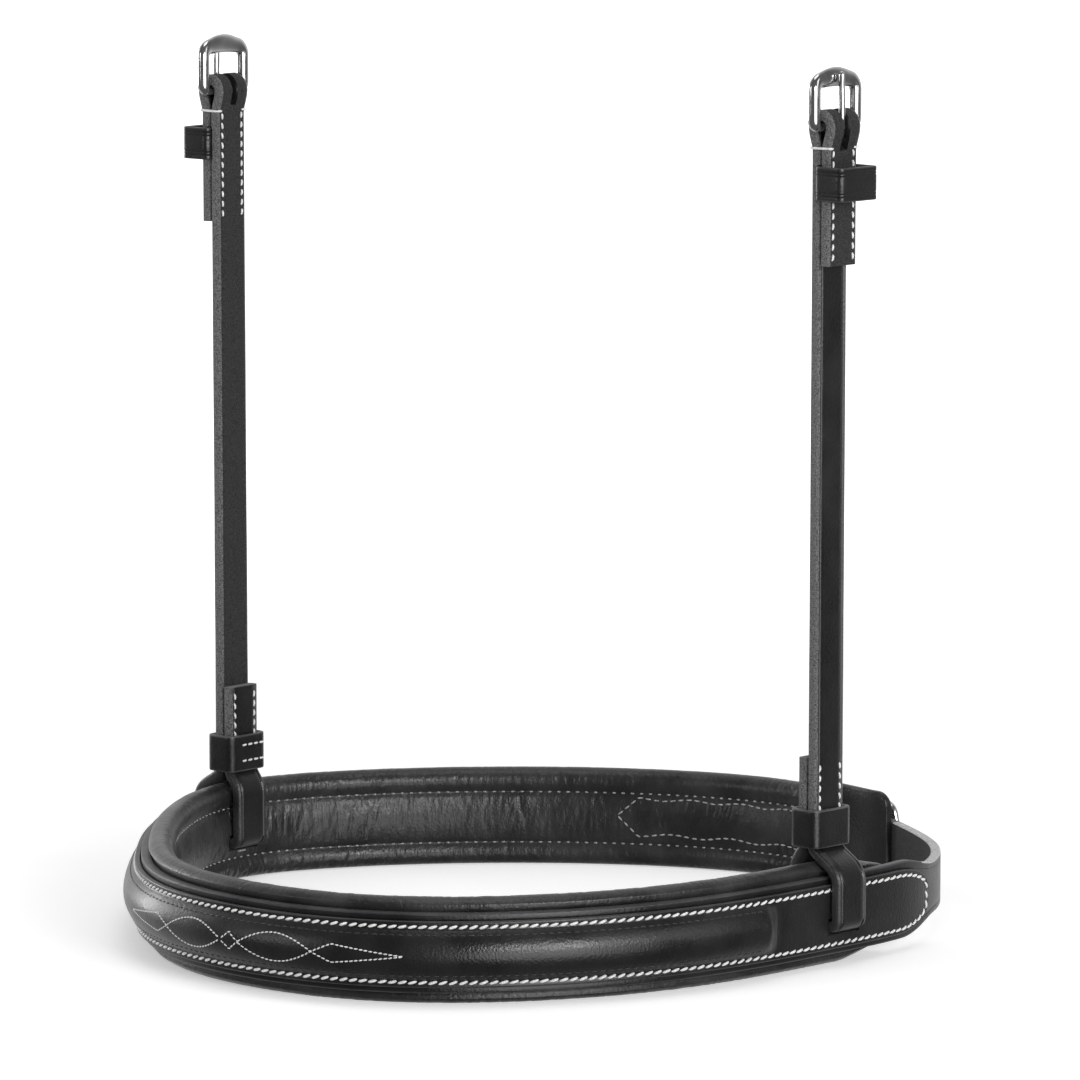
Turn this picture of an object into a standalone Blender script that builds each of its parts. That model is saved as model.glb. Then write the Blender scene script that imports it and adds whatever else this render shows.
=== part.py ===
"""Cavesson noseband: a padded, raised nosepiece closed by a chin strap, with two buckled cheekpieces.

The front of the noseband faces -Y and the horse's left side is +X. All sizes are in metres.
"""
import math

import bmesh
import bpy
import numpy as np
from mathutils import Matrix, Vector

PART_NAME = "cavesson_noseband"

# Plan of the noseband, measured to the middle of the main strap
ring_half_width = 0.1183
ring_half_length = 0.1230
plan_shift = -0.0017
station_step = 0.0110

# Main strap, which narrows to the chin billet
main_thickness = 0.0030
main_height = 0.0236
main_start = 0.0100
main_end_round = 0.0050
billet_width = 0.0160
billet_taper = 0.0240
billet_taper_reach = 0.0300
billet_overlap = 0.1080
billet_point = 0.0120
billet_hole_radius = 0.0016
billet_hole_pitch = 0.0200
billet_hole_steps = (-1, 1, 2, 3, 4)
billet_hole_sides = 10
fold_stations = 17

# Raised nosepiece leather and its filler
face_thickness = 0.0016
face_height = 0.0196
face_tip_reach = 0.0425
face_tip_length = 0.0180
face_tip_blunt_share = 0.30
dome_height = 0.0036
dome_end_reach = 0.0280
dome_ramp = 0.0060

# Foam padding and its lining
roll_radius = 0.0042
roll_drop = 0.0044
roll_rise = 0.0116
pad_flat = 0.0005
channel_bulge = 0.0085
channel_half = 0.0050
lining_thickness = 0.0010
hem_depth = 0.0065
pad_start = 0.0248
pad_end_reach = 0.0240
pad_end_round = 0.0080
pad_end_share = 0.55

# Jaw flap under the chin buckle
flap_thickness = 0.0022
flap_height = 0.0326
flap_rise = 0.0011
flap_length = 0.0245
flap_corner = 0.0060

# Gaps
gap = 0.0003
slot_play = 0.0003
leg_play = 0.0014
hinge_play = 0.00015
cut_overrun = 0.0200

# Cheekpieces
cheek_width = 0.0127
cheek_thickness = 0.0034
cheek_swing = math.radians(5.0)
slot_level = -0.0030
leg_corner = 0.0024
leg_straight_top = 0.0080
legs_meet = 0.0200
cheek_plane = -0.0044
turn_up_top = 0.0470
cheek_bar_level = 0.2355
cheek_lean = 0.0004
turn_down_length = 0.0410
eye_neck = 0.0075
eye_slot_width = 0.0032
eye_slot_depth = 0.0078

# Keepers
keeper_thickness = 0.0015
lower_keeper_height = 0.0115
lower_keeper_level = 0.0202
upper_keeper_height = 0.0100
upper_keeper_drop = 0.0215
upper_keeper_room = 0.0048
chin_keeper_thickness = 0.0012
chin_keeper_height = 0.0100
chin_keeper_starts = (0.0480, 0.0820)
keeper_play = 0.0005
keeper_corner = 0.0005

# Buckles
bar_radius = 0.0016
side_radius = 0.0019
top_bar_half = 0.0024
top_bar_thickness = 0.0015
top_bar_arch = 0.0013
frame_corner = 0.0031
frame_low_corner = 0.0021
cheek_frame_width = 0.0215
cheek_frame_length = 0.0191
chin_frame_width = 0.0250
chin_frame_length = 0.0210
chin_frame_tilt = math.radians(3.5)
frame_sides = 8
tongue_radius = 0.0010
tongue_tip_reach = 0.0012

# Chin chape and the places along the far end of the band
chape_thickness = 0.0024
chape_width = 0.0160
chape_end = 0.1080
chape_point = 0.0140
chape_return = 0.0380
chape_lift_start = 0.0440
chin_bar_place = 0.0250
chin_slot_width = 0.0034

# Edge rounding
strap_bevel = 0.0004
keeper_bevel = 0.0003

# Plan of the band from the flap's end round the back, the right side, the front and the left side to
# the chin, as shares of the half width and the half length
BAND_SHARES = (
    (0.594, 0.912),
    (0.180, 1.000),
    (-0.169, 0.925),
    (-0.541, 0.715),
    (-0.862, 0.398),
    (-1.000, 0.089),
    (-0.926, -0.211),
    (-0.693, -0.565),
    (-0.363, -0.885),
    (0.008, -1.000),
    (0.389, -0.943),
    (0.685, -0.722),
    (0.913, -0.325),
    (1.000, 0.089),
    (1.016, 0.400),
    (0.871, 0.704),
    (0.671, 0.872),
)

# Colours, roughness and metallic values
black_grain = ((0.022, 0.022, 0.023, 1.0), 0.38, 0.0)
black_soft = ((0.035, 0.035, 0.036, 1.0), 0.48, 0.0)
foam_grey = ((0.180, 0.180, 0.180, 1.0), 0.90, 0.0)
steel = ((0.720, 0.720, 0.710, 1.0), 0.16, 1.0)


def clear_scene():
    """Removes every object that the file opens with."""
    for old in list(bpy.data.objects):
        bpy.data.objects.remove(old, do_unlink=True)


def new_collection(name):
    """Makes a collection in the scene."""
    made = bpy.data.collections.new(name)
    bpy.context.scene.collection.children.link(made)
    return made


clear_scene()
parts = new_collection(PART_NAME)
cutters = new_collection("cutters")


def make_material(name, look):
    """Makes a Principled material from a colour, a roughness and a metallic value."""
    colour, roughness, metallic = look
    material = bpy.data.materials.new(name)
    material.use_nodes = True
    shader = material.node_tree.nodes["Principled BSDF"]
    shader.inputs["Base Color"].default_value = colour
    shader.inputs["Roughness"].default_value = roughness
    shader.inputs["Metallic"].default_value = metallic
    material.diffuse_color = colour
    return material


def mesh_object(name, points, faces, look=None, parent=None, pose=None):
    """Makes an object from points and faces; one without a look is a cutter."""
    mesh = bpy.data.meshes.new(name)
    mesh.from_pydata([tuple(p) for p in points], [], faces)
    obj = bpy.data.objects.new(name, mesh)
    if look is None:
        cutters.objects.link(obj)
        obj.hide_render = True
        obj.display_type = "WIRE"
    else:
        parts.objects.link(obj)
        mesh.materials.append(make_material(name, look))
    if pose is not None:
        obj.matrix_world = pose
    if parent is not None:
        obj.parent = parent
        obj.matrix_parent_inverse = parent.matrix_world.inverted()
    return obj


def face_out(obj):
    """Turns the faces of a closed mesh outward."""
    shape = bmesh.new()
    shape.from_mesh(obj.data)
    bmesh.ops.recalc_face_normals(shape, faces=shape.faces)
    shape.to_mesh(obj.data)
    shape.free()


def smooth(obj, angle=40.0):
    """Shades the mesh smooth and keeps its sharp edges."""
    obj.data.shade_smooth()
    obj.data.set_sharp_from_angle(angle=math.radians(angle))


def loft(name, rings, look=None, closed=False, **place):
    """Joins rings with equal numbers of points, and caps the first and the last unless closed."""
    count = len(rings[0])
    points = [p for ring in rings for p in ring]
    faces = []
    spans = len(rings) if closed else len(rings) - 1
    for row in range(spans):
        low = row * count
        high = (row + 1) % len(rings) * count
        for i in range(count):
            j = (i + 1) % count
            faces.append((low + i, low + j, high + j, high + i))
    if not closed:
        faces.append(tuple(range(count)))
        faces.append(tuple(range(len(points) - count, len(points)))[::-1])
    obj = mesh_object(name, points, faces, look, **place)
    face_out(obj)
    smooth(obj)
    return obj


def sheet(name, rows, thickness, bevel_width, look, **place):
    """Makes a leather piece: rows of points as a surface, given its thickness and rounded edges."""
    count = len(rows[0])
    points = [p for row in rows for p in row]
    faces = []
    for row in range(len(rows) - 1):
        for i in range(count - 1):
            low = row * count + i
            faces.append((low, low + 1, low + count + 1, low + count))
    obj = mesh_object(name, points, faces, look, **place)
    smooth(obj)
    solid = obj.modifiers.new("leather", "SOLIDIFY")
    solid.thickness = thickness
    solid.offset = 0.0
    solid.use_even_offset = True
    if bevel_width:
        add_bevel(obj, bevel_width)
    return obj


def add_bevel(obj, width, segments=1):
    """Rounds the sharp edges."""
    bevel = obj.modifiers.new("edges", "BEVEL")
    bevel.width = width
    bevel.segments = segments
    bevel.limit_method = "ANGLE"
    bevel.angle_limit = math.radians(50.0)


def cut(obj, cutter):
    """Cuts a shape out of a piece."""
    boolean = obj.modifiers.new(cutter.name, "BOOLEAN")
    boolean.operation = "DIFFERENCE"
    boolean.solver = "EXACT"
    boolean.object = cutter


def box_cutter(name, low, high, pose):
    """Makes a box cutter between two corners of a placed frame."""
    shape = bmesh.new()
    bmesh.ops.create_cube(shape, size=1.0)
    size = Vector(high) - Vector(low)
    middle = (Vector(high) + Vector(low)) * 0.5
    bmesh.ops.scale(shape, vec=size, verts=shape.verts)
    bmesh.ops.translate(shape, vec=middle, verts=shape.verts)
    obj = mesh_object(name, [], [], pose=pose)
    shape.to_mesh(obj.data)
    shape.free()
    return obj


def spline(points, count):
    """Reads a natural cubic spline through the points at count even parameters."""
    points = np.array(points, float)
    knots = np.concatenate([[0.0], np.cumsum(np.linalg.norm(np.diff(points, axis=0), axis=1))])
    steps = np.diff(knots)
    size = len(points)
    system = np.eye(size)
    right = np.zeros(points.shape)
    for i in range(1, size - 1):
        system[i, i - 1] = steps[i - 1]
        system[i, i] = 2.0 * (steps[i - 1] + steps[i])
        system[i, i + 1] = steps[i]
        slope = (points[i + 1] - points[i]) / steps[i] - (points[i] - points[i - 1]) / steps[i - 1]
        right[i] = 6.0 * slope
    bend = np.linalg.solve(system, right)
    found = []
    for place in np.linspace(0.0, knots[-1], count):
        i = min(int(np.searchsorted(knots, place, side="right")) - 1, size - 2)
        a = (knots[i + 1] - place) / steps[i]
        b = (place - knots[i]) / steps[i]
        curve = (a**3 - a) * bend[i] + (b**3 - b) * bend[i + 1]
        found.append(a * points[i] + b * points[i + 1] + curve * steps[i] ** 2 / 6.0)
    return np.array(found)


class PlanPath:
    """A smooth path in plan, read by its length, with its outward side on the right."""

    samples = 1200

    def __init__(self, points):
        self.points = spline(points, self.samples)
        runs = np.linalg.norm(np.diff(self.points, axis=0), axis=1)
        self.lengths = np.concatenate([[0.0], np.cumsum(runs)])
        self.total = float(self.lengths[-1])
        self.slopes = np.gradient(self.points, self.lengths, axis=0)

    def at(self, place):
        """Gives the point, the direction and the outward normal at a length."""
        place = float(place)
        end = min(max(place, 0.0), self.total)
        point = np.array([np.interp(end, self.lengths, self.points[:, k]) for k in range(2)])
        along = np.array([np.interp(end, self.lengths, self.slopes[:, k]) for k in range(2)])
        along = along / np.linalg.norm(along)
        point = point + along * (place - end)
        return point, along, np.array([along[1], -along[0]])

    def put(self, place, out, level):
        """Gives the 3-D point at a length, a distance outward and a level."""
        point, _, normal = self.at(place)
        spot = point + normal * out
        return (float(spot[0]), float(spot[1]), float(level))

    def nearest(self, point):
        """Gives the length at the path's nearest place to a point."""
        away = np.linalg.norm(self.points - np.array(point), axis=1)
        return float(self.lengths[int(np.argmin(away))])


def plan_point(share):
    """Gives the plan point of a pair of shares."""
    return (share[0] * ring_half_width, share[1] * ring_half_length + plan_shift)


# Levels and surfaces, measured outward from the middle of the main strap
base_level = roll_rise + roll_radius - pad_flat
main_half = main_thickness / 2
chape_half = chape_thickness / 2
on_main = main_half + gap
face_middle = on_main + face_thickness / 2
face_surface = on_main + face_thickness
pad_surface = roll_drop + roll_radius

# The chin buckle's fold, and the billet's ride over it
chin_fold_radius = bar_radius + hinge_play + chape_half
billet_round = chin_fold_radius + chape_half + gap + main_half
chin_bar_height = main_half + gap + chape_half + chin_fold_radius
chin_reach = chin_frame_length - bar_radius - top_bar_half
chape_low = on_main + chape_half
chape_high = chape_low + chape_thickness + gap
billet_flat = chape_low + chape_half + gap + main_half
billet_double = chape_high + chape_half + gap + main_half
chin_tilt_rise = chin_reach * math.sin(chin_frame_tilt)
billet_under = chin_bar_height + chin_tilt_rise - top_bar_thickness - 3 * gap - main_half

band_path = PlanPath([plan_point(share) for share in BAND_SHARES])


def billet_rides():
    """Gives the billet's places along the band's far end, and its distance outside it."""
    rides = [(chin_bar_place - chin_reach, billet_under)]
    for angle in (math.radians(70.0), math.radians(38.0), 0.0):
        rides.append(
            (
                chin_bar_place - billet_round * math.sin(angle),
                chin_bar_height + billet_round * math.cos(angle),
            )
        )
    rides.append((chape_return, billet_double + 2 * gap))
    rides.append((chape_lift_start + 2 * chape_thickness, billet_flat + gap))
    for share in (0.55, 0.8, 1.0):
        rides.append((billet_overlap * share, billet_flat + gap / 2))
    return rides


def billet_points():
    """Gives the plan points of the billet's ride."""
    return [band_path.put(place, out, 0.0)[:2] for place, out in billet_rides()]


strap_path = PlanPath([plan_point(share) for share in BAND_SHARES] + billet_points())
right_loop = strap_path.nearest(plan_point(BAND_SHARES[5]))
left_loop = strap_path.nearest(plan_point(BAND_SHARES[13]))


def stations(start, end):
    """Gives the shared stations between two lengths, with both ends."""
    first = int(math.floor(start / station_step)) + 1
    last = int(math.ceil(end / station_step))
    middle = [i * station_step for i in range(first, last)]
    near_start = [p for p in middle if p - start < 0.3 * station_step]
    near_end = [p for p in middle if end - p < 0.3 * station_step]
    return [start] + [p for p in middle if p not in near_start + near_end] + [end]


def far_enough(places):
    """Sorts stations and drops each that crowds the next one."""
    places = sorted(places)
    return [p for p, q in zip(places, places[1:]) if q - p > strap_bevel * 2] + [places[-1]]


def ease(share):
    """Rises smoothly from 0 to 1."""
    share = min(max(share, 0.0), 1.0)
    return share * share * (3.0 - 2.0 * share)


def round_end(distance, length, blunt):
    """Gives a rounded end's share of the full width, at a distance from its tip."""
    share = min(max(distance / length, 0.0), 1.0)
    return blunt + (1.0 - blunt) * math.sqrt(1.0 - (1.0 - share) ** 2)


def end_stations(length, count):
    """Gives closer stations for a rounded end."""
    return [length * (1.0 - math.cos(math.pi / 2 * i / count)) for i in range(1, count + 1)]


def main_width(place):
    """Gives the main strap's height at a length."""
    taper = (place - left_loop - billet_taper_reach) / billet_taper
    width = main_height + (billet_width - main_height) * ease(taper)
    width *= round_end(place - main_start, main_end_round, 0.75)
    return width * round_end(strap_path.total - place, billet_point, 0.15)


def band_frame(place, path=None):
    """Gives a placed frame on the band: X outward, Y along the strap, Z up from its middle."""
    point, along, normal = (path or strap_path).at(place)
    return Matrix(
        (
            (normal[0], along[0], 0.0, point[0]),
            (normal[1], along[1], 0.0, point[1]),
            (0.0, 0.0, 1.0, base_level),
            (0.0, 0.0, 0.0, 1.0),
        )
    )


slot_half_height = (cheek_thickness * math.cos(cheek_swing) + cheek_width * math.sin(cheek_swing)) / 2
slot_half_height += slot_play
slot_half_width = (cheek_width * math.cos(cheek_swing) + cheek_thickness * math.sin(cheek_swing)) / 2
slot_half_width += slot_play


def slot_cutter(side, place):
    """Makes the cutter of a cheekpiece's slot."""
    return box_cutter(
        "slot_cutter_" + side,
        (-cut_overrun, -slot_half_width, slot_level - slot_half_height),
        (cut_overrun, slot_half_width, slot_level + slot_half_height),
        band_frame(place),
    )


slot_cutters = [slot_cutter("right", right_loop), slot_cutter("left", left_loop)]


def cut_slots(obj):
    """Cuts both cheekpiece slots out of a piece of the band."""
    for cutter in slot_cutters:
        cut(obj, cutter)


def make_main_strap():
    """Makes the strap that carries everything and ends in the chin billet."""
    places = stations(main_start, strap_path.total)
    places += [main_start + step for step in end_stations(main_end_round, 2)]
    places += [strap_path.total - step for step in end_stations(billet_point, 5)]
    fold_start = strap_path.nearest(billet_points()[0])
    fold_end = strap_path.nearest(billet_points()[5])
    places = [place for place in places if not fold_start < place < fold_end]
    places += list(np.linspace(fold_start, fold_end, fold_stations))
    places = far_enough(places)
    rows = []
    for place in places:
        half = main_width(place) / 2
        rows.append([strap_path.put(place, 0.0, base_level + level) for level in (-half, half)])
    strap = sheet("main_strap", rows, main_thickness, strap_bevel, black_grain)
    cut_slots(strap)
    tongue_hole = strap_path.nearest(billet_points()[1])
    for number, step in enumerate(billet_hole_steps):
        place = tongue_hole + step * billet_hole_pitch
        cut(strap, hole_cutter("billet_hole_cutter_%d" % (number + 1), place))
    return strap


def hole_cutter(name, place):
    """Makes the cutter of a round hole through the billet."""
    shape = bmesh.new()
    bmesh.ops.create_cone(
        shape,
        cap_ends=True,
        segments=billet_hole_sides,
        radius1=billet_hole_radius,
        radius2=billet_hole_radius,
        depth=2 * main_thickness,
        matrix=Matrix.Rotation(math.pi / 2, 4, "Y"),
    )
    obj = mesh_object(name, [], [], pose=band_frame(place))
    shape.to_mesh(obj.data)
    shape.free()
    return obj


face_start = right_loop - face_tip_reach
face_end = left_loop + face_tip_reach
dome_start = right_loop + dome_end_reach
dome_end = left_loop - dome_end_reach

# The dome's columns, as shares of half the face's height, and its rise at each as a share of its height
DOME_SHARES = ((-1.0, 0.0), (-0.77, 0.0), (-0.54, 0.52), (-0.25, 0.93), (0.25, 0.93), (0.54, 0.52),
               (0.77, 0.0), (1.0, 0.0))
FILLER_SHARES = ((-0.64, 0.06), (-0.54, 0.30), (-0.25, 0.74), (0.25, 0.74), (0.54, 0.30), (0.64, 0.06))


def dome_ramp_at(place):
    """Gives the dome's share of its full rise at a length."""
    return ease((place - dome_start) / dome_ramp) * ease((dome_end - place) / dome_ramp)


def make_nose_face():
    """Makes the raised, pointed outer leather of the nosepiece."""
    places = stations(face_start, face_end)
    for step in end_stations(face_tip_length, 5):
        places += [face_start + step, face_end - step]
    for step in (0.0, 0.5, 1.0):
        places += [dome_start + step * dome_ramp, dome_end - step * dome_ramp]
    rows = []
    for place in far_enough(places):
        tip = min(place - face_start, face_end - place)
        half = face_height / 2 * round_end(tip, face_tip_length, face_tip_blunt_share)
        rise = dome_height * dome_ramp_at(place)
        rows.append(
            [
                strap_path.put(place, face_middle + rise * share, base_level + half * column)
                for column, share in DOME_SHARES
            ]
        )
    face = sheet("nose_face", rows, face_thickness, strap_bevel, black_grain)
    cut_slots(face)
    return face


def make_nose_filler():
    """Makes the shaped filler between the main strap and the raised leather."""
    rings = []
    for place in stations(dome_start + dome_ramp, dome_end - dome_ramp):
        half = face_height / 2
        ring = [
            strap_path.put(place, on_main + dome_height * share, base_level + half * column)
            for column, share in FILLER_SHARES
        ]
        for column, _ in (FILLER_SHARES[-1], FILLER_SHARES[0]):
            ring.append(strap_path.put(place, on_main, base_level + half * column))
        rings.append(ring)
    return loft("nose_filler", rings, foam_grey)


# Directions round a padding roll, in degrees up from outward, and the depth of the groove beside it
ROLL_ANGLES = (35.0, 75.0, 105.0, 150.0, 195.0)
INNER_ANGLES = (35.0, 90.0, 145.0, 195.0)
groove_level = 0.0082
groove_depth = 0.0011
hem_top = main_height / 2 + gap


def pad_profile(inset, angles):
    """Gives half of the padding's outline, as distances outward and up, from its hem to its middle."""
    back = on_main + inset
    radius = roll_radius - inset
    half = [(-back, hem_top - 0.5 * inset)]
    for angle in angles:
        turn = math.radians(angle)
        half.append((radius * math.cos(turn) - roll_drop, roll_rise + radius * math.sin(turn)))
    half.append((-(channel_bulge - groove_depth - inset), groove_level))
    half.append((-(channel_bulge - gap / 2 - inset), channel_half))
    return half


def pad_outline(inset, hem, angles):
    """Gives the padding's open outline from its upper hem round the inside to its lower hem."""
    half = pad_profile(inset, angles)
    upper = ([(-(on_main + inset), hem)] if hem else []) + half
    middle = [(-(channel_bulge - inset), 0.0)]
    lower = [(out, -level) for out, level in upper[::-1]]
    return upper + middle + lower


def pad_fit(place, out, level, floor):
    """Places an outline point, drawn in at the padding's ends and cut flat underneath."""
    distance = min(place - pad_start, left_loop + pad_end_reach - place)
    share = round_end(distance, pad_end_round, pad_end_share)
    out = -on_main + (out + on_main) * share
    drawn_in = 0.5 + 0.5 * share
    if abs(level) > groove_level:
        level = math.copysign(groove_level + (abs(level) - groove_level) * drawn_in, level)
    if abs(level) < hem_top + gap:
        out = min(out, -on_main)
    level = max(level, -floor)
    return strap_path.put(place, out, base_level + level)


def pad_places():
    """Gives the stations along the padding."""
    start = pad_start
    end = left_loop + pad_end_reach
    places = stations(start, end)
    for step in end_stations(pad_end_round, 3):
        places += [start + step, end - step]
    return far_enough(places)


def make_padding_lining():
    """Makes the soft leather wrapped round the foam, open between its hems at the back."""
    outer = pad_outline(0.0, hem_depth, ROLL_ANGLES)
    inner = pad_outline(lining_thickness, hem_depth, INNER_ANGLES)
    rings = []
    for place in pad_places():
        ring = [pad_fit(place, out, level, base_level) for out, level in outer]
        floor = base_level - 0.6 * lining_thickness
        ring += [pad_fit(place, out, level, floor) for out, level in inner[::-1]]
        rings.append(ring)
    lining = loft("padding_lining", rings, black_soft)
    cut_slots(lining)
    return lining


def make_padding_core():
    """Makes the foam strip with a roll along each edge."""
    inset = lining_thickness + gap
    outline = pad_outline(inset, 0.0, INNER_ANGLES)
    rings = []
    for place in pad_places():
        floor = base_level - inset
        rings.append([pad_fit(place, out, level, floor) for out, level in outline])
    core = loft("padding_core", rings, foam_grey)
    cut_slots(core)
    return core


def make_jaw_flap():
    """Makes the plain leather end that lies under the chin buckle."""
    rows = []
    steps = [0.0] + end_stations(flap_corner, 4)
    places = steps + list(np.linspace(flap_corner, flap_length, 4))[1:]
    for place in places:
        corner = 1.0 - flap_corner / (flap_height / 2)
        half = flap_height / 2 * round_end(place, flap_corner, corner)
        out = -(on_main + flap_thickness / 2)
        middle = base_level + flap_rise
        rows.append([strap_path.put(place, out, middle + level) for level in (-half, half)])
    return sheet("jaw_flap", rows, flap_thickness, strap_bevel, black_soft)


main_strap = make_main_strap()
make_nose_face()
make_nose_filler()
make_padding_core()
make_padding_lining()
make_jaw_flap()


# Heights and distances outward along a cheekpiece's two legs, from where they meet down to the band,
# as shares of that height and of each leg's reach
OUTER_LEG_SHARES = (
    (1.2, 0.0), (1.1, 0.0), (1.0, 0.0), (0.87, 0.14), (0.69, 0.50), (0.46, 0.86), (0.20, 1.0), (0.0, 1.0)
)
INNER_LEG_SHARES = (
    (1.2, 0.0), (1.0, 0.0), (0.80, 0.40), (0.62, 0.80), (0.42, 0.97), (0.20, 1.0), (0.0, 1.0)
)

cheek_half = cheek_thickness / 2
layer_pitch = cheek_thickness + gap
outer_leg = face_surface + gap + cheek_half
inner_leg = -(pad_surface + leg_play + cheek_half)
cheek_fold_radius = bar_radius + hinge_play + cheek_half
turn_down_end = cheek_bar_level - turn_down_length
upper_keeper_level = cheek_bar_level - upper_keeper_drop


def lean_at(level):
    """Gives the cheekpiece's outward lean at a level."""
    return cheek_lean * (level - legs_meet) / (cheek_bar_level - legs_meet)


def layer_middle(level):
    """Gives the middle between the main layer and the turned-down layer at a level."""
    return cheek_plane + layer_pitch / 2 + lean_at(level)


def leg_points(start, end, shares):
    """Gives a leg's points from where the legs meet down to its straight part."""
    drop = legs_meet - leg_straight_top
    return [
        (start + (end - start) * out, leg_straight_top + drop * height) for height, out in shares
    ]


def cheek_line():
    """Gives the middle line of a cheekpiece from its turn-up round the band to its turned-down end."""
    turn_up = cheek_plane - layer_pitch
    inner = spline(leg_points(turn_up, inner_leg, INNER_LEG_SHARES), 11)
    outer = spline(leg_points(cheek_plane, outer_leg, OUTER_LEG_SHARES), 11)
    line = [(turn_up, turn_up_top)] + [tuple(p) for p in inner]
    for angle in np.radians([180.0, 210.0, 240.0, 270.0]):
        line.append(
            (
                inner_leg + leg_corner + leg_corner * math.cos(angle),
                slot_level + leg_corner + leg_corner * math.sin(angle),
            )
        )
    for angle in np.radians([270.0, 300.0, 330.0, 360.0]):
        line.append(
            (
                outer_leg - leg_corner + leg_corner * math.cos(angle),
                slot_level + leg_corner + leg_corner * math.sin(angle),
            )
        )
    line += [tuple(p) for p in outer[::-1]]
    neck = cheek_bar_level - eye_neck
    swell = cheek_fold_radius - layer_pitch / 2
    eye = [(share, ease(share)) for share in (0.0, 0.25, 0.5, 0.75, 1.0)]
    half_pitch = layer_pitch / 2
    for share, wide in eye[:-1]:
        level = neck + eye_neck * share
        line.append((layer_middle(level) - half_pitch - swell * wide, level))
    top = layer_middle(cheek_bar_level)
    for angle in np.radians(np.linspace(180.0, 0.0, 11)):
        across = cheek_fold_radius * math.cos(angle)
        line.append((top + across, cheek_bar_level + cheek_fold_radius * math.sin(angle)))
    for share, wide in eye[:-1][::-1]:
        level = neck + eye_neck * share
        line.append((layer_middle(level) + half_pitch + swell * wide, level))
    line.append((layer_middle(turn_down_end) + half_pitch, turn_down_end))
    return line


def make_band_loop(name, low, high, levels, thickness, look, parent, pose):
    """Makes a leather keeper round a rectangle, given the corners of its inside and its levels."""
    middle = [(a + b) / 2 for a, b in zip(low, high)]
    half = [(b - a) / 2 for a, b in zip(low, high)]
    rings = []
    for corner, signs in enumerate(((1, 1), (-1, 1), (-1, -1), (1, -1))):
        centre = [middle[k] + signs[k] * (half[k] - keeper_corner) for k in range(2)]
        for step in range(3):
            angle = math.pi / 2 * (corner + step / 2)
            way = (math.cos(angle), math.sin(angle))
            inside = [centre[k] + keeper_corner * way[k] for k in range(2)]
            outside = [centre[k] + (keeper_corner + thickness) * way[k] for k in range(2)]
            rings.append(
                [
                    (inside[0], inside[1], levels[0]),
                    (outside[0], outside[1], levels[0]),
                    (outside[0], outside[1], levels[1]),
                    (inside[0], inside[1], levels[1]),
                ]
            )
    obj = loft(name, rings, look, closed=True, parent=parent, pose=pose)
    add_bevel(obj, keeper_bevel)
    return obj


def frame_outline(width, reach):
    """Gives a buckle frame's middle line with its half sizes in and out of its plane."""
    half = width / 2 - side_radius
    sides = reach - top_bar_arch
    low_corner = frame_low_corner
    right = [(0.0, 0.0, bar_radius, bar_radius), (half - low_corner, 0.0, bar_radius, bar_radius)]
    for angle in np.radians([-60.0, -30.0, 0.0]):
        right.append(
            (
                half - low_corner + low_corner * math.cos(angle),
                low_corner + low_corner * math.sin(angle),
                side_radius,
                side_radius,
            )
        )
    right.append((half, (low_corner + sides - frame_corner) / 2, side_radius, side_radius))
    for angle in np.radians([0.0, 22.5, 45.0, 67.5]):
        share = math.sin(angle)
        right.append(
            (
                half - frame_corner + frame_corner * math.cos(angle),
                sides - frame_corner + frame_corner * math.sin(angle),
                side_radius + (top_bar_half - side_radius) * share,
                side_radius + (top_bar_thickness - side_radius) * share,
            )
        )
    inner = half - frame_corner
    for share in (0.8, 0.4):
        rise = top_bar_arch * (1.0 - share * share)
        right.append((inner * share, sides + rise, top_bar_half, top_bar_thickness))
    top = [(0.0, reach, top_bar_half, top_bar_thickness)]
    left = [(-y, z, a, b) for y, z, a, b in right[:0:-1]]
    return right + top + left


def make_buckle_frame(name, width, reach, parent, pose):
    """Makes a rounded buckle frame with its bar on the frame's own origin."""
    outline = frame_outline(width, reach)
    count = len(outline)
    rings = []
    for i, (y, z, in_half, out_half) in enumerate(outline):
        before = outline[i - 1]
        after = outline[(i + 1) % count]
        along = np.array([after[0] - before[0], after[1] - before[1]])
        along = along / np.linalg.norm(along)
        ring = []
        for angle in np.linspace(0.0, 2 * math.pi, frame_sides, endpoint=False):
            side = in_half * math.cos(angle)
            ring.append((out_half * math.sin(angle), y + along[1] * side, z - along[0] * side))
        rings.append(ring)
    return loft(name, rings, steel, closed=True, parent=parent, pose=pose)


def make_tongue(name, reach, parent, pose):
    """Makes a buckle tongue: a wire wrapped round the bar that rests on the top bar."""
    wrap = bar_radius + hinge_play + tongue_radius
    rest = top_bar_thickness + gap + tongue_radius
    line = [(rest, reach + tongue_tip_reach), (rest, reach - top_bar_half)]
    line.append(((rest + wrap) / 2, reach / 2))
    for angle in np.radians(np.arange(15.0, -226.0, -24.0)):
        line.append((wrap * math.cos(angle), wrap * math.sin(angle)))
    curve = bpy.data.curves.new(name, "CURVE")
    curve.dimensions = "3D"
    curve.bevel_depth = tongue_radius
    curve.bevel_resolution = 2
    curve.use_fill_caps = True
    run = curve.splines.new("POLY")
    run.points.add(len(line) - 1)
    for point, (x, z) in zip(run.points, line):
        point.co = (x, 0.0, z, 1.0)
    obj = bpy.data.objects.new(name, curve)
    parts.objects.link(obj)
    curve.materials.append(make_material(name, steel))
    obj.matrix_world = pose
    obj.parent = parent
    obj.matrix_parent_inverse = parent.matrix_world.inverted()
    return obj


def make_empty(name, pose):
    """Makes an empty that stands on a joint's axis."""
    empty = bpy.data.objects.new(name, None)
    parts.objects.link(empty)
    empty.empty_display_size = cheek_width
    empty.matrix_world = pose
    return empty


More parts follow.
